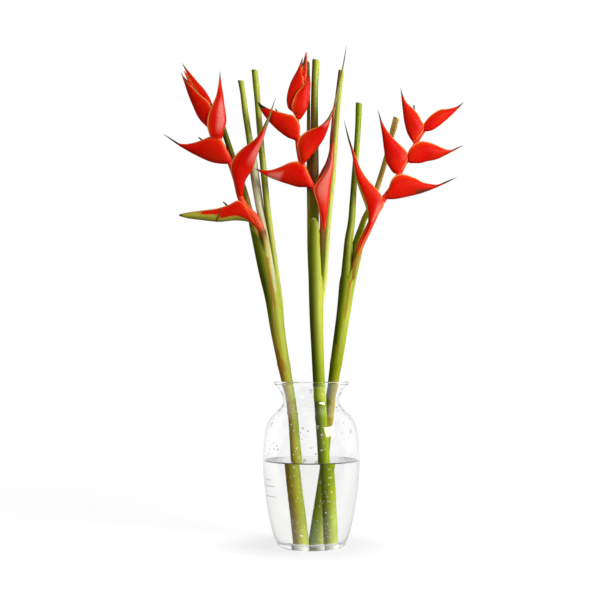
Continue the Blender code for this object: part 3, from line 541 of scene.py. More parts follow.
def boat_faces(rows, columns):
    """Faces of an outer and an inner grid, joined by a bead along each lip and closed at both ends."""
    under = rows * columns
    faces = grid_faces(rows, columns) + grid_faces(rows, columns, under)
    for lip_number, column in ((0, 0), (1, columns - 1)):
        bead = 2 * under + lip_number * rows
        for i in range(rows - 1):
            a, b = i * columns + column, (i + 1) * columns + column
            faces.append((a, b, bead + i + 1, bead + i))
            faces.append((bead + i, bead + i + 1, under + b, under + a))
        for i in (0, rows - 1):
            a = i * columns + column
            faces.append((a, bead + i, under + a))
    for i in (0, rows - 1):
        for k in range(columns - 1):
            a = i * columns + k
            faces.append((a, a + 1, under + a + 1, under + a))
    return faces


def marked(marks, mask, t, height):
    """How strong one kind of mark is all over a bract."""
    total = 0 * (t + height)
    for kind, centre, reach, middle, breadth in marks:
        if kind == mask:
            total = np.maximum(total, patch(t, centre, reach) * patch(height, middle, breadth))
    return total


def bract(name, plane, skin, seed, keel, lip, half, swing, near=None, mouth=0.45, root=6.6, wall=1.8, taper=2,
          tip=0.82, marks=()):
    """A folded boat-shaped bract, open between its lips from the stalk to its drawn-out tip.

    Its root wraps round the stalk and laps over it. marks are patches of colour, each (mask, centre along,
    reach along, centre across, reach across), the salmon sheen among them a painted highlight, and tip is where
    the dark tip starts; past 1 it has none.
    """
    steps = BRACT_STEPS
    columns = 2 * steps + 1
    turned_in = np.radians(np.linspace(CLASP_TURN, 0.0, CLASP_ROWS, endpoint=False))
    t = np.concatenate([0 * turned_in, np.linspace(0, 1, BRACT_ROWS) ** 0.9])[:, None]
    rows = len(t)
    beyond = np.concatenate([CLASP_LAP * np.sin(turned_in), np.zeros(BRACT_ROWS)])[:, None]
    j = np.arange(-steps, steps + 1)[None, :]
    side = np.where(j < 0, -1.0, 1.0)
    last = math.pi - math.asin(mouth)
    angle = last * np.abs(j) / steps
    height = (1 - np.cos(angle)) / (1 - math.cos(last))
    sharpness = ROOT_SHARPNESS + (KEEL_SHARPNESS - ROOT_SHARPNESS) * smooth(0.0, 0.4, t)
    width = np.abs(np.sin(angle)) ** sharpness
    body = root + (half - root) * np.sin(np.pi / 2 * np.minimum(1, t / 0.3))
    wide = TIP_HALF + (body - TIP_HALF) * (1 - t**taper)
    wide = CLASP + (wide - CLASP) * smooth(0.0, 0.1, t)
    wide[:CLASP_ROWS, 0] = np.maximum(0.8, CLASP * np.cos(turned_in))
    low = curve(keel, t[:, 0], 2)[:, None, :]
    high = np.where(side[..., None] > 0, curve(lip, t[:, 0], 2)[:, None, :],
                    curve(near or lip, t[:, 0], 2)[:, None, :])
    inward = (low + high)[CLASP_ROWS, steps] - (low + high)[CLASP_ROWS + BRACT_ROWS // 4, steps]
    edge = unit((high - low)[CLASP_ROWS, steps])
    inward = unit(inward - edge * (inward @ edge))
    rounded = beyond * (0.15 + 0.85 * np.sin(np.pi * np.clip(height, 0.0, 1.0)) ** 0.7)
    up = high - low
    rise = np.linalg.norm(up, axis=-1)
    course = unit(np.gradient(low[CLASP_ROWS:, 0], axis=0))
    course = np.concatenate([np.repeat(course[:1], CLASP_ROWS, axis=0), course])
    square = np.stack([-course[:, 1], course[:, 0]], axis=-1)
    halfway = CLASP_ROWS + BRACT_ROWS // 2
    square = square * np.sign(up[halfway, steps] @ square[halfway])
    least = TIP_DEEP * (1 - t**8) + TIP_GROWTH * (1 - t) + 0.3
    apart = np.sum(up * square[:, None, :], axis=-1)
    up += square[:, None, :] * (np.maximum(0.0, least - apart) * smooth(0.3, 0.6, t))[..., None]
    rise = np.maximum(rise, np.minimum(least, TIP_DEEP))
    draw = np.random.default_rng(seed)
    phase = draw.uniform(0, 2 * math.pi, 4)
    dents = np.sin(2 * math.pi * 1.4 * t + phase[0]) * np.sin(math.pi * 1.6 * height + phase[1])
    waves = np.sin(2 * math.pi * 3.2 * t + phase[2]) * height**3
    ribs = np.cos(2 * math.pi * RIBS * height + 0.5 * np.sin(9 * t + phase[3]))
    fade = smooth(0.0, 0.15, t) * (1 - smooth(0.7, 1.0, t))
    relief = fade * (DENT * dents + RIB * ribs) + side * fade * WAVE * waves

    def surface(floor, inset):
        place = low + up * (floor + (1 - floor) * height)[..., None] + inward * rounded[..., None]
        x, z = place[..., 0], place[..., 1]
        reach = np.maximum(wide - inset + relief * smooth(0.1, 0.4, height), 0.08)
        y = depth(plane, x, z) + swing * t**2 + side * reach * width
        return seen(x, z, y)

    thick = np.minimum(wall, 0.42 * wide)
    outer = surface(np.zeros_like(rise), np.zeros_like(height * t))
    inner = surface(np.minimum(0.5, 1.3 * thick / rise), thick * (1 - 0.6 * height))
    lips = []
    for column in (0, columns - 1):
        edge = (outer[:, column] + inner[:, column]) / 2
        lips.append(edge + unit(outer[:, column] - outer[:, steps]) * LIP_BEAD * (1 - t**2))
    points = np.concatenate([outer.reshape(-1, 3), inner.reshape(-1, 3), lips[0], lips[1]])

    def spread(values, bead_value=None):
        grid = np.broadcast_to(values, (rows, columns))
        ends = [grid[:, 0], grid[:, -1]] if bead_value is None else [np.full(rows, bead_value)] * 2
        return np.concatenate([grid.ravel(), grid.ravel(), *ends])

    masks = {"along": spread(t), "across": spread(side * height), "edge": spread(height, 1.06)}
    masks["inside"] = np.repeat([0.0, 1.0, 0.5], [rows * columns, rows * columns, 2 * rows])
    masks["tip"] = spread(smooth(tip, tip + TIP_FADE, t + 0.05 * height))
    # Among the marks, the salmon sheen is painted sheen: a highlight where the bract faces the light.
    for mask in ("green", "painted_sheen", "stain", "grey"):
        masks[mask] = spread(marked(marks, mask, t, height))
    return piece(name, points, boat_faces(rows, columns), skin, masks, sharp=60)


# Stems and stalks


def sweep(spine, rows, sides):
    """Centres, directions and rings of a tube along a spine of (x, y, z, half width, half depth)."""
    stations = curve(spine, np.linspace(0, 1, rows), 3)
    centre = stations[:, None, :3]
    ahead = unit(np.gradient(stations[:, :3], axis=0))[:, None]
    across = unit(np.cross([0.0, 1.0, 0.0], ahead))
    front = np.cross(ahead, across)
    angle = (2 * np.pi * np.arange(sides) / sides)[None, :, None]
    outward = across * np.cos(angle) * stations[:, None, 3:4] + front * np.sin(angle) * stations[:, None, 4:5]
    return centre, ahead, outward, angle[..., 0]


def tinted_with_painted_shade(stops, z, angle):
    """Colours round a stem from stops of (height, left colour, right colour): a painted shade on its left side and a
    painted light on its right.
    """
    heights = [stop[0] for stop in stops]
    left = np.stack([np.interp(z, heights, [stop[1][c] for stop in stops]) for c in range(3)], axis=-1)
    right = np.stack([np.interp(z, heights, [stop[2][c] for stop in stops]) for c in range(3)], axis=-1)
    # Painted shade and light: the left side, turned away from the key light, takes the left colour, and the right side
    # takes the right one.
    share = smooth(-0.75, 0.75, np.cos(angle) + 0 * z)[..., None]
    return left * (1 - share) + right * share


def turn_between(angle, edge):
    """How far an angle lies past an edge, from -180 to 180 degrees."""
    return (np.degrees(angle) - edge + 180.0) % 360.0 - 180.0


def stem_look(z, angle, sides, lobes, swellings, sheaths, streaks):
    """Relief of a stem's skin, and how brown and how cream it is."""
    relief = RIDGE * np.cos(angle * round(sides / 4)) + lobes * np.cos(3 * angle + 0.4) + 0 * z
    for height, lift, reach in swellings:
        relief = relief + lift * np.exp(-(((z - height) / reach) ** 2))
    brown = np.zeros_like(z)
    cream = np.zeros_like(z)
    for lift, edge_points in sheaths:
        heights, degrees = zip(*edge_points)
        span = heights[-1] - heights[0]
        there = smooth(heights[0], heights[0] + 0.25 * span, z)
        past = turn_between(angle, np.interp(z, heights, degrees))
        relief = relief + lift * there * smooth(-3, 5, past) * (1 - smooth(90, 160, past))
        cream = np.maximum(cream, there * np.exp(-(((past - 3) / 6) ** 2)))
        brown = np.maximum(brown, 0.8 * there * np.exp(-(((past + 5) / 6) ** 2)))
    for height, reach, degrees, breadth in streaks:
        past = np.abs(turn_between(angle, degrees))
        brown = np.maximum(brown, patch(z, height, reach) * (1 - smooth(0.2 * breadth, breadth, past)))
    return relief, brown, cream


def end_rings(rim, ahead, away, hollow):
    """Rings from the rim of a stem's upper end inwards, over a shallow cut or down an open sheath."""
    if hollow:
        rings = [rim - away * 0.5 * SHEATH_WALL + ahead * 0.2]
        rings += [rim - away * (SHEATH_WALL + 0.04 * sunk) - ahead * sunk for sunk in (0.0, 0.2 * hollow, hollow)]
        return rings, rings[-1].mean(axis=0)
    middle = rim.mean(axis=0)
    cut = ((0.97, -0.15), (0.86, 0.0), (0.80, CUT_CUP), (0.4, 1.4 * CUT_CUP))
    return [middle + (rim - middle) * share - ahead * sunk for share, sunk in cut], middle


def stem(name, spine, skin, stops, rows, sides, slant=0.0, foot=None, swellings=(), sheaths=(), streaks=(),
         lobes=0.0, point=False, collar=(), collar_reach=60.0, hollow=0.0):
    """A pseudostem, leaf stalk, flower stalk or floret with its cut ends.

    slant tilts the upper cut, and foot is the height of a level lower cut. swellings are (height, raise,
    reach). sheaths are (raise, points of (height, degrees)): the edge of a leaf sheath that lies on the stem,
    raised to the right of the edge. streaks are browned (height, reach along, degrees, reach round). collar
    gives the open top of a sheath as (degrees, lift, widening) round the stem, brought in over collar_reach,
    and hollow is how deep it stays open.
    """
    centre, ahead, outward, angle = sweep(spine, rows, sides)
    away = unit(outward)
    z = (centre + outward)[..., 2]
    relief, brown, cream = stem_look(z, angle, sides, lobes, swellings, sheaths, streaks)
    skin_points = centre + outward + away * relief[..., None]
    if foot is not None:
        skin_points[0] += ahead[0] * ((foot - skin_points[0, :, 2:3]) / ahead[0, :, 2:3])
    if collar:
        degrees, lifts, widenings = zip(*collar)
        turn = np.degrees(angle) % 360.0
        run = np.concatenate([[0.0], np.cumsum(np.linalg.norm(np.diff(centre[:, 0], axis=0), axis=1))])
        brought = np.clip(1 + (run - run[-1])[:, None] / collar_reach, 0.0, 1.0)
        skin_points = skin_points + ahead * (np.interp(turn, degrees, lifts) * brought**1.5)[..., None]
        skin_points = skin_points + away * (np.interp(turn, degrees, widenings) * brought**2)[..., None]
        cream = np.maximum(cream, np.exp((run - run[-1]) / 0.9)[:, None] + 0 * z)
    skin_points[-1] -= ahead[-1] * slant * np.cos(angle[0])[:, None]
    rings, middle = end_rings(skin_points[-1], ahead[-1], away[-1], hollow)
    added = len(rings)
    crown = (rows + added - 1) * sides
    points = np.concatenate([skin_points.reshape(-1, 3), *rings,
                             [middle - ahead[-1, 0] * (-2.0 if point else 1.4 * CUT_CUP)]])
    faces = grid_faces(rows + added, sides, wrap=True)
    faces += [(crown + k, crown + (k + 1) % sides, crown + sides) for k in range(sides)]
    faces.append(tuple(range(sides)))

    def spread(values, at_end):
        side = np.broadcast_to(values, (rows, sides)).ravel()
        return np.concatenate([side, np.full(added * sides + 1, at_end)])

    # An open sheath's inside takes a dark painted shade in its hollow; a cut end takes the pale cut colour.
    on_edge, on_cut, cream_inside, end_tone = (0.0, 0.0, 0.6, HOLLOW_PAINTED_SHADE) if hollow else (0.3, 1.0, 0.0, CUT_PALE)
    masks = {
        "around": spread(angle / (2 * np.pi), 0.0),
        "along": spread(np.linspace(0, 1, rows)[:, None], 1.0),
        "cut": np.repeat([0.0, on_edge, on_cut], [rows * sides, sides, (added - 1) * sides + 1]),
        "brown": spread(brown, 0.0),
        "cream": spread(cream, cream_inside),
        "dry": spread(smooth(WATER_LEVEL, WATER_LEVEL + SPLASH, z), 1.0),
    }
    ends = np.tile(np.array(end_tone, float), (added * sides + 1, 1))
    colours = np.concatenate([tinted_with_painted_shade(stops, z, angle).reshape(-1, 3), ends])
    return piece(name, points, faces, skin, masks, colours, sharp=45)


# Vase and water


def turned(name, profile, skin):
    """A closed profile of (height, radius) turned about the vase's axis; its ends lie on the axis."""
    heights, radii = np.array(profile, float).T
    angle = 2 * np.pi * np.arange(VASE_SIDES) / VASE_SIDES
    inner = slice(1, -1)
    ring = np.stack([radii[inner, None] * np.cos(angle), radii[inner, None] * np.sin(angle),
                     heights[inner, None] + 0 * angle], axis=-1)
    count = len(heights) - 2
    points = np.concatenate([ring.reshape(-1, 3), [(0, 0, heights[0]), (0, 0, heights[-1])]])
    faces = grid_faces(count, VASE_SIDES, wrap=True)
    low, high = count * VASE_SIDES, count * VASE_SIDES + 1
    for k in range(VASE_SIDES):
        n = (k + 1) % VASE_SIDES
        faces.append((k, low, n))
        faces.append(((count - 1) * VASE_SIDES + k, (count - 1) * VASE_SIDES + n, high))
    return piece(name, points, faces, skin, sharp=50)


def wall_line(count):
    """The vase's outer wall from the foot to the rim's roll, as (height, radius)."""
    return curve(VASE_OUTLINE, np.linspace(0, 1, count), 2)


def wall_radius(z):
    """Inner radius of the vase at a height."""
    line = wall_line(200)
    return np.interp(z, line[:, 0], line[:, 1]) - VASE_WALL


def arc(centre_z, centre_r, radius, first, last, count):
    """Points of an arc of the profile; 0 degrees points away from the axis and 90 upwards."""
    angles = np.radians(np.linspace(first, last, count))
    return [(centre_z + radius * math.sin(a), centre_r + radius * math.cos(a)) for a in angles]


def floor_corner(gap, first, last):
    """The round corner between the vase's inner wall and its floor, at a gap from the glass."""
    centre_r = wall_radius(VASE_FLOOR + CORNER_SEAT) - CORNER_ROUND
    return arc(VASE_FLOOR + CORNER_ROUND, centre_r, CORNER_ROUND - gap, first, last, 10)


def vase(skin):
    outside = [tuple(p) for p in wall_line(110)]
    roll = arc(VASE_HEIGHT - RIM_ROLL, RIM_RADIUS, RIM_ROLL, -25, 205, 22)
    low, high = INNER_WALL
    inside = [(z, wall_radius(z)) for z in np.linspace(high, low, 100)]
    punt = [(PUNT * (1 - (r / PUNT_RADIUS) ** 2), r) for r in np.linspace(0.0, PUNT_RADIUS, 12)]
    foot = arc(FOOT_ROUND, FOOT_RADIUS, FOOT_ROUND, -90, -25, 12)
    bottom = floor_corner(0.0, 0, -90) + [(VASE_FLOOR, FLOOR_FLAT), (VASE_FLOOR, 0.0)]
    return turned("vase_glass", punt + foot + outside + roll + inside + bottom, skin)


def water(skin):
    bottom = VASE_FLOOR + WATER_GAP
    profile = [(bottom, 0.0), (bottom, FLOOR_FLAT)] + floor_corner(WATER_GAP, -90, 0)
    profile += [(z, wall_radius(z) + WATER_OVERLAP) for z in np.linspace(WATER_FOOT, WATER_LEVEL + MENISCUS, 60)]
    edge = wall_radius(WATER_LEVEL)
    profile += [(WATER_LEVEL + MENISCUS * math.exp(-s / MENISCUS_REACH), edge - s) for s in np.linspace(0.0, 7.0, 18)]
    profile += [(WATER_LEVEL, WATER_FLAT), (WATER_LEVEL, 0.0)]
    return turned("still_water", profile, skin)


def thread(name, level, radius, skin, first, last):
    """A thin thread against the vase's inner wall between two angles, finer towards its ends."""
    around = np.radians(np.linspace(first, last, VASE_SIDES))[:, None]
    turn = (2 * np.pi * np.arange(THREAD_SIDES) / THREAD_SIDES)[None, :]
    thin = radius * (np.sin(np.linspace(0.05, np.pi - 0.05, VASE_SIDES)) ** 0.3)[:, None]
    radii = wall_radius(level) - thin * (1 - np.cos(turn))
    points = np.stack([radii * np.cos(around), radii * np.sin(around), level + thin * np.sin(turn)], axis=-1)
    faces = grid_faces(VASE_SIDES, THREAD_SIDES, wrap=True)
    end = (VASE_SIDES - 1) * THREAD_SIDES
    faces += [tuple(range(THREAD_SIDES)), tuple(range(end, end + THREAD_SIDES))]
    return piece(name, points.reshape(-1, 3), faces, skin, sharp=80)


# Nodes


def feed(tree, socket, value):
    """Sets a socket to a number or a colour, or joins it to another socket."""
    if isinstance(value, bpy.types.NodeSocket):
        tree.links.new(value, socket)
    elif isinstance(value, tuple) and len(value) == 3 and socket.type == "RGBA":
        socket.default_value = (*value, 1.0)
    else:
        socket.default_value = value


def node(tree, kind, **values):
    """A new node with numbers, colours or other sockets on its inputs."""
    made = tree.nodes.new(kind)
    for name, value in values.items():
        feed(tree, made.inputs[name.replace("_", " ")], value)
    return made


# Drops and bubbles


def scatter_tree(name, radius, flatness):
    """A Geometry Nodes tree that strews small round drops over a surface."""
    tree = bpy.data.node_groups.new(name, "GeometryNodeTree")
    for title, kind in (("Surface", "NodeSocketGeometry"), ("Density", "NodeSocketFloat"),
                        ("Smallest", "NodeSocketFloat"), ("Largest", "NodeSocketFloat"),
                        ("Seed", "NodeSocketInt"), ("Finish", "NodeSocketMaterial")):
        tree.interface.new_socket(name=title, in_out="INPUT", socket_type=kind)
    tree.interface.new_socket(name="Drops", in_out="OUTPUT", socket_type="NodeSocketGeometry")
    given = tree.nodes.new("NodeGroupInput").outputs
    points = node(tree, "GeometryNodeDistributePointsOnFaces", Mesh=given["Surface"], Density=given["Density"],
                  Seed=given["Seed"])
    size = node(tree, "FunctionNodeRandomValue", Seed=given["Seed"])
    feed(tree, size.inputs[2], given["Smallest"])
    feed(tree, size.inputs[3], given["Largest"])
    squash = node(tree, "ShaderNodeCombineXYZ", X=1.0, Y=1.0, Z=flatness)
    stretch = tree.nodes.new("ShaderNodeVectorMath")
    stretch.operation = "SCALE"
    feed(tree, stretch.inputs[0], squash.outputs[0])
    feed(tree, stretch.inputs["Scale"], size.outputs[1])
    ball = node(tree, "GeometryNodeMeshIcoSphere", Radius=radius, Subdivisions=2)
    placed = node(tree, "GeometryNodeInstanceOnPoints", Points=points.outputs["Points"], Instance=ball.outputs["Mesh"],
                  Rotation=points.outputs["Rotation"], Scale=stretch.outputs[0])
    real = node(tree, "GeometryNodeRealizeInstances", Geometry=placed.outputs[0])
    smoothed = node(tree, "GeometryNodeSetShadeSmooth", Geometry=real.outputs[0])
    finish = node(tree, "GeometryNodeSetMaterial", Geometry=smoothed.outputs[0], Material=given["Finish"])
    node(tree, "NodeGroupOutput", Drops=finish.outputs[0])
    return tree


def strewn(name, surface, tree, **values):
    """The drops of a tree on a surface, as a plain mesh of their own; the surface is used up."""
    modifier = surface.modifiers.new(name, "NODES")
    modifier.node_group = tree
    for socket in tree.interface.items_tree:
        if socket.in_out == "INPUT" and socket.name in values:
            modifier[socket.identifier] = values[socket.name]
    bpy.context.view_layer.update()
    mesh = bpy.data.meshes.new_from_object(surface.evaluated_get(bpy.context.evaluated_depsgraph_get()))
    mesh.name = name
    surface.modifiers.clear()
    bpy.data.objects.remove(surface, do_unlink=True)
    return linked(name, mesh)


def band(name, low, high, first, last):
    """A strip of the vase's inner wall between two heights and two angles, facing the axis."""
    angles = np.radians(np.linspace(first, last, 40))
    rows = np.linspace(low, high, 24)
    points = [(wall_radius(z) * math.cos(a), wall_radius(z) * math.sin(a), z) for z in rows for a in angles]
    mesh = bpy.data.meshes.new(name)
    mesh.from_pydata((np.array(points) * MM).tolist(), [], grid_faces(len(rows), len(angles)))
    return linked(name, mesh)


def wetted(name, whole, low, high):
    """A copy of a stem's skin between two heights, in millimetres."""
    mesh = whole.data.copy()
    shape = bmesh.new()
    shape.from_mesh(mesh)
    dry = [f for f in shape.faces if not low < f.calc_center_median().z / MM < high]
    bmesh.ops.delete(shape, geom=dry, context="FACES")
    shape.to_mesh(mesh)
    shape.free()
    return linked(name, mesh)


# Finishes


def value_group(name, inputs, outputs):
    """An empty shader node group with named inputs and outputs, and its two end nodes."""
    tree = bpy.data.node_groups.new(name, "ShaderNodeTree")
    for title, start in inputs:
        socket = tree.interface.new_socket(name=title, in_out="INPUT", socket_type="NodeSocketFloat")
        socket.default_value = start
    for title in outputs:
        tree.interface.new_socket(name=title, in_out="OUTPUT", socket_type="NodeSocketFloat")
    return tree, tree.nodes.new("NodeGroupInput"), tree.nodes.new("NodeGroupOutput")


def math_node(tree, operation, *values):
    """The result of a Math node on numbers or sockets."""
    made = tree.nodes.new("ShaderNodeMath")
    made.operation = operation
    for socket, value in zip(made.inputs, values):
        feed(tree, socket, value)
    return made.outputs[0]


def times(tree, first, second):
    return math_node(tree, "MULTIPLY", first, second)


def ramp(tree, value, low, high, start=0.0, end=1.0):
    """value from low to high, eased to run from start to end."""
    made = node(tree, "ShaderNodeMapRange", Value=value, From_Min=low, From_Max=high, To_Min=start, To_Max=end)
    made.interpolation_type = "SMOOTHSTEP"
    return made.outputs["Result"]


def blend(tree, share, first, second, mode="MIX"):
    """Two colours mixed by a share."""
    made = tree.nodes.new("ShaderNodeMix")
    made.data_type = "RGBA"
    made.blend_type = mode
    for place, value in ((0, share), (6, first), (7, second)):
        feed(tree, made.inputs[place], value)
    return made.outputs[2]


def mask(tree, name, output="Fac"):
    """A mask or colour that the mesh carries."""
    made = tree.nodes.new("ShaderNodeAttribute")
    made.attribute_name = name
    return made.outputs[output]


def noise(tree, place, scale, detail, roughness=0.5):
    """Noise from 0 to 1 at a place."""
    made = node(tree, "ShaderNodeTexNoise", Vector=place, Scale=scale, Detail=detail, Roughness=roughness)
    return made.outputs["Fac"]


def object_place(tree):
    return tree.nodes.new("ShaderNodeTexCoord").outputs["Object"]


def ends_in(tree, share, first, second, end):
    """Sends two shaders, mixed by a share, to the end node of a tree."""
    choice = tree.nodes.new("ShaderNodeMixShader")
    for socket, value in zip(choice.inputs, (share, first.outputs[0], second.outputs[0])):
        feed(tree, socket, value)
    feed(tree, tree.nodes[end].inputs["Surface"], choice.outputs[0])


def lengthwise_veins():
    """Fine veins that run from the foot to the tip of a bract or stem."""
    tree, given, result = value_group(
        "lengthwise_veins", (("Across", 0.0), ("Along", 0.0), ("Count", 20.0), ("Stretch", 2.0)), ("Veins", "Height"))
    place = node(tree, "ShaderNodeCombineXYZ", X=times(tree, given.outputs["Across"], given.outputs["Count"]),
                 Y=times(tree, given.outputs["Along"], given.outputs["Stretch"]))
    grain = noise(tree, place.outputs[0], 1.0, 3.0, 0.6)
    feed(tree, result.inputs["Veins"], ramp(tree, grain, 0.35, 0.68))
    feed(tree, result.inputs["Height"], grain)
    return tree


def skin_mottle():
    """Soft blotches of a living skin, by place on the object."""
    tree, given, result = value_group("skin_mottle", (("Scale", 60.0), ("Low", 0.4), ("High", 0.65)), ("Mottle",))
    spread = node(tree, "ShaderNodeMapRange", Value=noise(tree, object_place(tree), given.outputs["Scale"], 4.0),
                  From_Min=given.outputs["Low"], From_Max=given.outputs["High"])
    feed(tree, result.inputs["Mottle"], spread.outputs["Result"])
    return tree


def frayed_mask():
    """A mask whose soft border is broken up by small noise, as a browned edge is."""
    tree, given, result = value_group("frayed_mask", (("Mask", 0.0), ("Scale", 300.0), ("Fray", 0.5)), ("Mask",))
    grain = noise(tree, object_place(tree), given.outputs["Scale"], 3.0)
    shift = times(tree, math_node(tree, "SUBTRACT", grain, 0.5), given.outputs["Fray"])
    moved = math_node(tree, "ADD", given.outputs["Mask"], times(tree, shift, 2.0))
    weighed = times(tree, ramp(tree, moved, 0.25, 0.75), ramp(tree, given.outputs["Mask"], 0.02, 0.3))
    feed(tree, result.inputs["Mask"], weighed)
    return tree


def effect(tree, group, output=0, **values):
    """One of the shared effects, placed in a material with its own values."""
    made = tree.nodes.new("ShaderNodeGroup")
    made.node_tree = group
    for name, value in values.items():
        feed(tree, made.inputs[name], value)
    return made.outputs[output]


def plain_skin(name, roughness=0.4, **constants):
    """A material with a Principled BSDF, and its tree and shader."""
    made = bpy.data.materials.new(name)
    made.use_nodes = True
    tree = made.node_tree
    shader = tree.nodes["Principled BSDF"]
    shader.inputs["Roughness"].default_value = roughness
    for socket, value in constants.items():
        feed(tree, shader.inputs[socket.replace("_", " ")], value)
    return made, tree, shader


def raise_veins(tree, shader, height, distance, strength):
    """Fine relief of the veins, distance in metres."""
    bump = node(tree, "ShaderNodeBump", Height=height, Distance=distance, Strength=strength)
    feed(tree, shader.inputs["Normal"], bump.outputs["Normal"])


def bract_skin(effects):
    made, tree, shader = plain_skin("bract_skin", 0.42, Specular_IOR_Level=0.1)
    across, along, edge = mask(tree, "across"), mask(tree, "along"), mask(tree, "edge")
    veins = effect(tree, effects["veins"], Across=across, Along=along, **BRACT_VEINS)
    vein_height = effect(tree, effects["veins"], 1, Across=across, Along=along, **BRACT_VEINS)
    broad = effect(tree, effects["mottle"], Scale=38.0, Low=0.35, High=0.7)
    colour = blend(tree, times(tree, veins, 0.4), BRACT_BRIGHT, BRACT_DEEP)
    colour = blend(tree, times(tree, broad, 0.25), colour, BRACT_ORANGE)
    colour = blend(tree, ramp(tree, edge, 0.0, 0.10, 0.35, 0.0), colour, BRACT_ORANGE)
    colour = blend(tree, times(tree, mask(tree, "inside"), 0.75), colour, BRACT_INSIDE)
    # The salmon sheen mixed in here is a painted highlight where the bract faces the light.
    for name, tone, share in (("painted_sheen", PAINTED_SHEEN_SALMON, 0.42), ("green", BRACT_GREEN, 0.92), ("stain", BRACT_STAIN, 0.8),
                              ("grey", TIP_GREY, 0.95)):
        place = mask(tree, name)
        if name != "painted_sheen":
            place = effect(tree, effects["frayed"], Mask=place, Scale=170.0, Fray=0.22)
        colour = blend(tree, times(tree, place, share), colour, tone)
    colour = blend(tree, ramp(tree, edge, 0.72, 1.0, 0.0, 0.6), colour, BRACT_ORANGE)
    lip_tone = blend(tree, ramp(tree, along, 0.45, 0.8), LIP_ORANGE, LIP_GREEN)
    lip = effect(tree, effects["frayed"], Mask=ramp(tree, edge, 0.90, 1.0), Scale=240.0, Fray=0.12)
    colour = blend(tree, times(tree, lip, 0.9), colour, lip_tone)
    tip = effect(tree, effects["frayed"], Mask=mask(tree, "tip"), Scale=200.0, Fray=0.3)
    tip_tone = blend(tree, ramp(tree, edge, 0.80, 1.0), TIP_DARK, TIP_OLIVE)
    colour = blend(tree, tip, colour, tip_tone)
    feed(tree, shader.inputs["Base Color"], colour)
    gloss = ramp(tree, math_node(tree, "ADD", tip, times(tree, veins, 0.25)), 0.0, 1.2, 0.38, 0.6)
    feed(tree, shader.inputs["Roughness"], gloss)
    raise_veins(tree, shader, vein_height, BRACT_VEIN_DEPTH, 0.5)
    return made


def stem_skin(name, effects, vein_count, deep, gloss):
    """A stem's skin, its veins as dark as deep says. Its coat ends at the water, where it would hardly show."""
    made, tree, shader = plain_skin(name, gloss, Specular_IOR_Level=0.0, Coat_Roughness=0.35)
    feed(tree, shader.inputs["Coat Weight"], times(tree, mask(tree, "dry"), STEM_COAT))
    course = dict(Across=mask(tree, "around"), Along=mask(tree, "along"), Count=vein_count, Stretch=STEM_VEIN_STRETCH)
    veins = effect(tree, effects["veins"], **course)
    vein_height = effect(tree, effects["veins"], 1, **course)
    broad = effect(tree, effects["mottle"], Scale=55.0, Low=0.45, High=0.75)
    # The stem's tint carries its colour with painted shade on the left side and painted light on the right.
    colour = blend(tree, times(tree, veins, deep), mask(tree, "tint", "Color"), VEIN_SHADE, "MULTIPLY")
    colour = blend(tree, times(tree, broad, 0.3), colour, MOTTLE_SHADE, "MULTIPLY")
    cream = effect(tree, effects["frayed"], Mask=mask(tree, "cream"), Scale=220.0, Fray=0.15)
    colour = blend(tree, times(tree, cream, 0.5), colour, SHEATH_CREAM)
    brown = effect(tree, effects["frayed"], Mask=mask(tree, "brown"), Scale=160.0, Fray=0.4)
    colour = blend(tree, times(tree, brown, 0.75), colour, SHEATH_BROWN)
    pores = effect(tree, effects["mottle"], Scale=900.0, Low=0.5, High=0.62)
    colour = blend(tree, mask(tree, "cut"), colour, blend(tree, pores, CUT_PALE, CUT_BROWN))
    feed(tree, shader.inputs["Base Color"], colour)
    rough = ramp(tree, math_node(tree, "ADD", mask(tree, "cut"), times(tree, veins, 0.3)), 0.0, 1.0,
                 gloss - 0.06, 0.75)
    feed(tree, shader.inputs["Roughness"], rough)
    raise_veins(tree, shader, vein_height, STEM_VEIN_DEPTH, 0.55)
    return made


def clear_skin(name, tint, bending):
    """Glass or water. Light passes straight through it to what stands inside."""
    made, tree, shader = plain_skin(name, 0.0, Base_Color=tint, IOR=bending, Transmission_Weight=1.0)
    shadow = tree.nodes.new("ShaderNodeLightPath").outputs["Is Shadow Ray"]
    straight = node(tree, "ShaderNodeBsdfTransparent", Color=CLEAR_SHADOW)
    ends_in(tree, shadow, shader, straight, "Material Output")
    return made


# Making of the pieces


def placed(made, slot, *nodes):
    """Every piece rides on the one body and hides the parts of the model that it stands in for; slot is not used."""
    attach(made, "root")
    if nodes:
        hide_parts(*nodes)
    return made


def sighted(points):
    """A leaf stalk's spine from its places in the front view."""
    given = np.array(points, float)
    places = seen(given[:, 0], given[:, 2], given[:, 1])
    return [(*place, radius, radius) for place, radius in zip(places, given[:, 3])]


def stalk_line(plane, points):
    """A flower stalk's or floret's spine; a fourth number sets it back from the bloom's middle plane."""
    line = []
    for x, z, radius, *back in points:
        place = seen(np.array(x), np.array(z), depth(plane, x, z) + sum(back))
        line.append((*place, radius, radius))
    return line


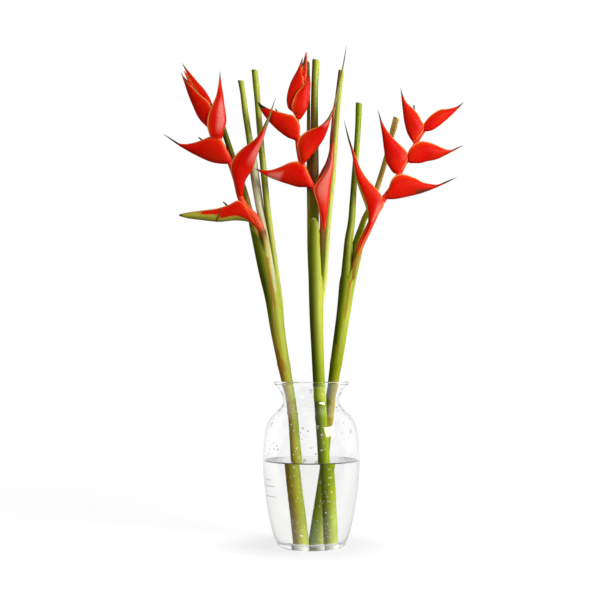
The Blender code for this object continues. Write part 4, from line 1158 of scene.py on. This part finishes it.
def shoot(side, skins, form):
    """All pieces of one shoot, from its trunk to its florets. The trunk is what bubbles cling to."""
    trunk = stem(f"sheath_bundle_{side}", form["trunk"], skins["stem"], rows=190, sides=72, foot=FOOT_LEVEL,
                 **form["trunk_look"])
    placed(trunk, "stem_green", f"pseudostem_{side}")
    for number, (slot, points, look) in enumerate(form["petioles"], 1):
        made = stem(f"cut_leaf_stalk_{side}_{number}", sighted(points), skins["stem"], rows=110, sides=44,
                    slant=1.0, **look)
        placed(made, slot, f"leaf_stalk_{side}_{number}")
    plane = form["plane"]
    made = stem(f"rachis_{side}", stalk_line(plane, form["stalk"]), skins["stalk"], form["stalk_stops"], rows=120,
                sides=40, lobes=0.12, point=True)
    placed(made, "flower_stalk_red", f"flower_stalk_{side}")
    for number, shape in enumerate(form["bracts"], 1):
        made = bract(f"boat_bract_{side}_{number}", plane, skins["bract"], form["first_seed"] + number, **shape)
        placed(made, "bract_red", *([f"bract_{side}_{number}"] if number <= BRACTS_IN_FRAME else []))
    for number, points in enumerate(form["florets"], 1):
        line = stalk_line(plane, points)
        top = line[-1][2]
        stops = [(top - 12, FLORET_GREEN, FLORET_GREEN), (top - 3, NUB_DARK, NUB_DARK)]
        made = stem(f"flower_{side}_{number}", line, skins["stem"], stops, rows=40, sides=24, lobes=0.15, point=True)
        placed(made, "floret_green", f"floret_{side}_{number}")
    return trunk


effects = {"veins": lengthwise_veins(), "mottle": skin_mottle(), "frayed": frayed_mask()}
skins = {
    "stem": stem_skin("stem_skin", effects, STEM_VEIN_COUNT, deep=0.45, gloss=0.36),
    "stalk": stem_skin("stalk_skin", effects, STALK_VEIN_COUNT, deep=0.4, gloss=0.42),
    "bract": bract_skin(effects),
}
clear_glass = clear_skin("clear_glass", GLASS_TINT, 1.5)
clear_water = clear_skin("still_water", WATER_TINT, 1.333)
air_bubble = plain_skin("air_bubble", 0.05, Base_Color=BUBBLE_TINT, IOR=1.333, Specular_IOR_Level=1.0)[0]
painted_meniscus_shade = plain_skin("painted_meniscus_shade", 0.3, Base_Color=PAINTED_MENISCUS_DARK)[0]
glass_mark = plain_skin("glass_mark", 0.4, Base_Color=MARK_GREY)[0]

placed(vase(clear_glass), "clear_glass", "glass_vase")
placed(water(clear_water), "water", "water")
# A dark thread at the water's edge: painted shade where the edge looks dark through the glass.
placed(thread("painted_meniscus_line", WATER_LEVEL + MENISCUS, LINE_RADIUS, painted_meniscus_shade, *LINE_SPAN), "water")
for number, (level, last) in enumerate(MARKS_ON_GLASS, 1):
    placed(thread(f"glass_mark_{number}", level, MARK_RADIUS, glass_mark, MARK_START, last), "clear_glass")
trunks = {side: shoot(side, skins, form) for side, form in (("left", LEFT), ("middle", MIDDLE), ("right", RIGHT))}

drops = scatter_tree("drops", DROP_RADIUS, DROP_FLATNESS)
for name, wall, finish, values in (("drops_on_glass", band("wet_wall", 132, 236, 180, 360), clear_water, WALL_DROPS),
                                   ("mist_on_glass", band("misted_wall", 132, 215, 225, 300), air_bubble, WALL_MIST)):
    placed(strewn(name, wall, drops, Finish=finish, **values), "water")
for number, (side, trunk) in enumerate(trunks.items()):
    clinging = strewn(f"bubbles_{side}", wetted(f"wet_{side}", trunk, *BUBBLES_SPAN), drops, Finish=air_bubble,
                      Seed=BUBBLES_SEED + number, **BUBBLES)
    placed(clinging, "water")


# Stage, light and camera


def seen_by_lens(tree, output, low, high):
    """1 for the lens, also through glass or water, and 0 for light that falls on the part.

    What the vase mirrors is dimmed a little behind the part, and much more in front of it, as in a dark room
    with a lit sheet at its back. The output of the Texture Coordinate tells the two apart by its y.
    """
    path = tree.nodes.new("ShaderNodeLightPath")
    place = tree.nodes.new("ShaderNodeTexCoord")
    apart = node(tree, "ShaderNodeSeparateXYZ", Vector=place.outputs[output])
    loss = ramp(tree, apart.outputs["Y"], low, high, -ROOM_LOSS, -MIRROR_LOSS)
    direct = math_node(tree, "MAXIMUM", path.outputs["Is Camera Ray"], path.outputs["Is Transmission Ray"])
    direct = math_node(tree, "MAXIMUM", direct, path.outputs["Is Singular Ray"])
    straight = times(tree, direct, math_node(tree, "LESS_THAN", path.outputs["Diffuse Depth"], 0.5))
    mirrored = times(tree, math_node(tree, "MINIMUM", path.outputs["Glossy Depth"], 1.0), loss)
    return times(tree, straight, math_node(tree, "ADD", mirrored, 1.0))


def paper_skin():
    """White paper with a faint painted shadow, its glow lowered in a ring round the vase's foot; it throws little light
    back on the part.
    """
    made = bpy.data.materials.new("paper")
    made.use_nodes = True
    tree = made.node_tree
    tree.nodes.remove(tree.nodes["Principled BSDF"])
    path = tree.nodes.new("ShaderNodeLightPath")
    unmirrored = math_node(tree, "LESS_THAN", path.outputs["Glossy Depth"], 0.5)
    bounce = node(tree, "ShaderNodeBsdfDiffuse", Color=times(tree, unmirrored, PAPER_BOUNCE))
    place = tree.nodes.new("ShaderNodeTexCoord")
    far = tree.nodes.new("ShaderNodeVectorMath")
    far.operation = "LENGTH"
    feed(tree, far.inputs[0], place.outputs["Object"])
    # Painted shadow: the glow is lower in a ring round the vase's foot.
    near = ramp(tree, far.outputs["Value"], 0.05, 0.17, PAPER_SHADE, PAPER_GLOW)
    distant = ramp(tree, far.outputs["Value"], 0.25, 2.2, 0.0, PAPER_FAR_GLOW - PAPER_GLOW)
    glow = node(tree, "ShaderNodeEmission", Strength=math_node(tree, "ADD", near, distant))
    lit = node(tree, "ShaderNodeBsdfDiffuse", Color=(PAPER_GREY, PAPER_GREY, PAPER_GREY))
    shown = tree.nodes.new("ShaderNodeAddShader")
    for socket, shader in zip(shown.inputs, (lit, glow)):
        feed(tree, socket, shader.outputs[0])
    ends_in(tree, seen_by_lens(tree, "Object", -0.2, -0.05), bounce, shown, "Material Output")
    return made


def studio_world():
    """White to the lens, and dimmer as a light."""
    made = bpy.data.worlds.new("studio")
    made.use_nodes = True
    tree = made.node_tree
    shown = tree.nodes["Background"]
    feed(tree, shown.inputs["Color"], (1.0, 1.0, 1.0))
    feed(tree, shown.inputs["Strength"], 1.0)
    dim = node(tree, "ShaderNodeBackground", Color=(1.0, 1.0, 1.0), Strength=AMBIENT)
    ends_in(tree, seen_by_lens(tree, "Generated", -0.1, 0.15), dim, shown, "World Output")
    return made


def softbox(name, place, size, power, mirrored):
    """A square soft light aimed at the middle of the arrangement."""
    data = bpy.data.lights.new(name, "AREA")
    data.shape = "SQUARE"
    data.size = size
    data.energy = power
    made = linked(name, data)
    made.location = place
    made.rotation_euler = (Vector(LIGHTS_AIM) - Vector(place)).to_track_quat("-Z", "Y").to_euler()
    made.visible_glossy = mirrored
    made.visible_transmission = False


scene = bpy.context.scene
scene.view_settings.view_transform = "Standard"
scene.world = studio_world()
floor_mesh = bpy.data.meshes.new("paper_floor")
floor_mesh.from_pydata([(x * PAPER_HALF, y * PAPER_HALF, 0) for x, y in ((-1, -1), (1, -1), (1, 1), (-1, 1))],
                       [], [(0, 1, 2, 3)])
floor_mesh.materials.append(paper_skin())
linked("paper_floor", floor_mesh)
for light in LIGHTS:
    softbox(*light)

lens = bpy.data.cameras.new("camera")
lens.lens = LENS_LENGTH
lens.sensor_width = LENS_SENSOR
lens.shift_x, lens.shift_y = LENS_SHIFT
lens.clip_start = 0.05
lens.clip_end = 100.0
camera = linked("camera", lens)
camera.location = VIEWER
camera.rotation_euler = (math.radians(LENS_TILT), 0.0, 0.0)
scene.camera = camera
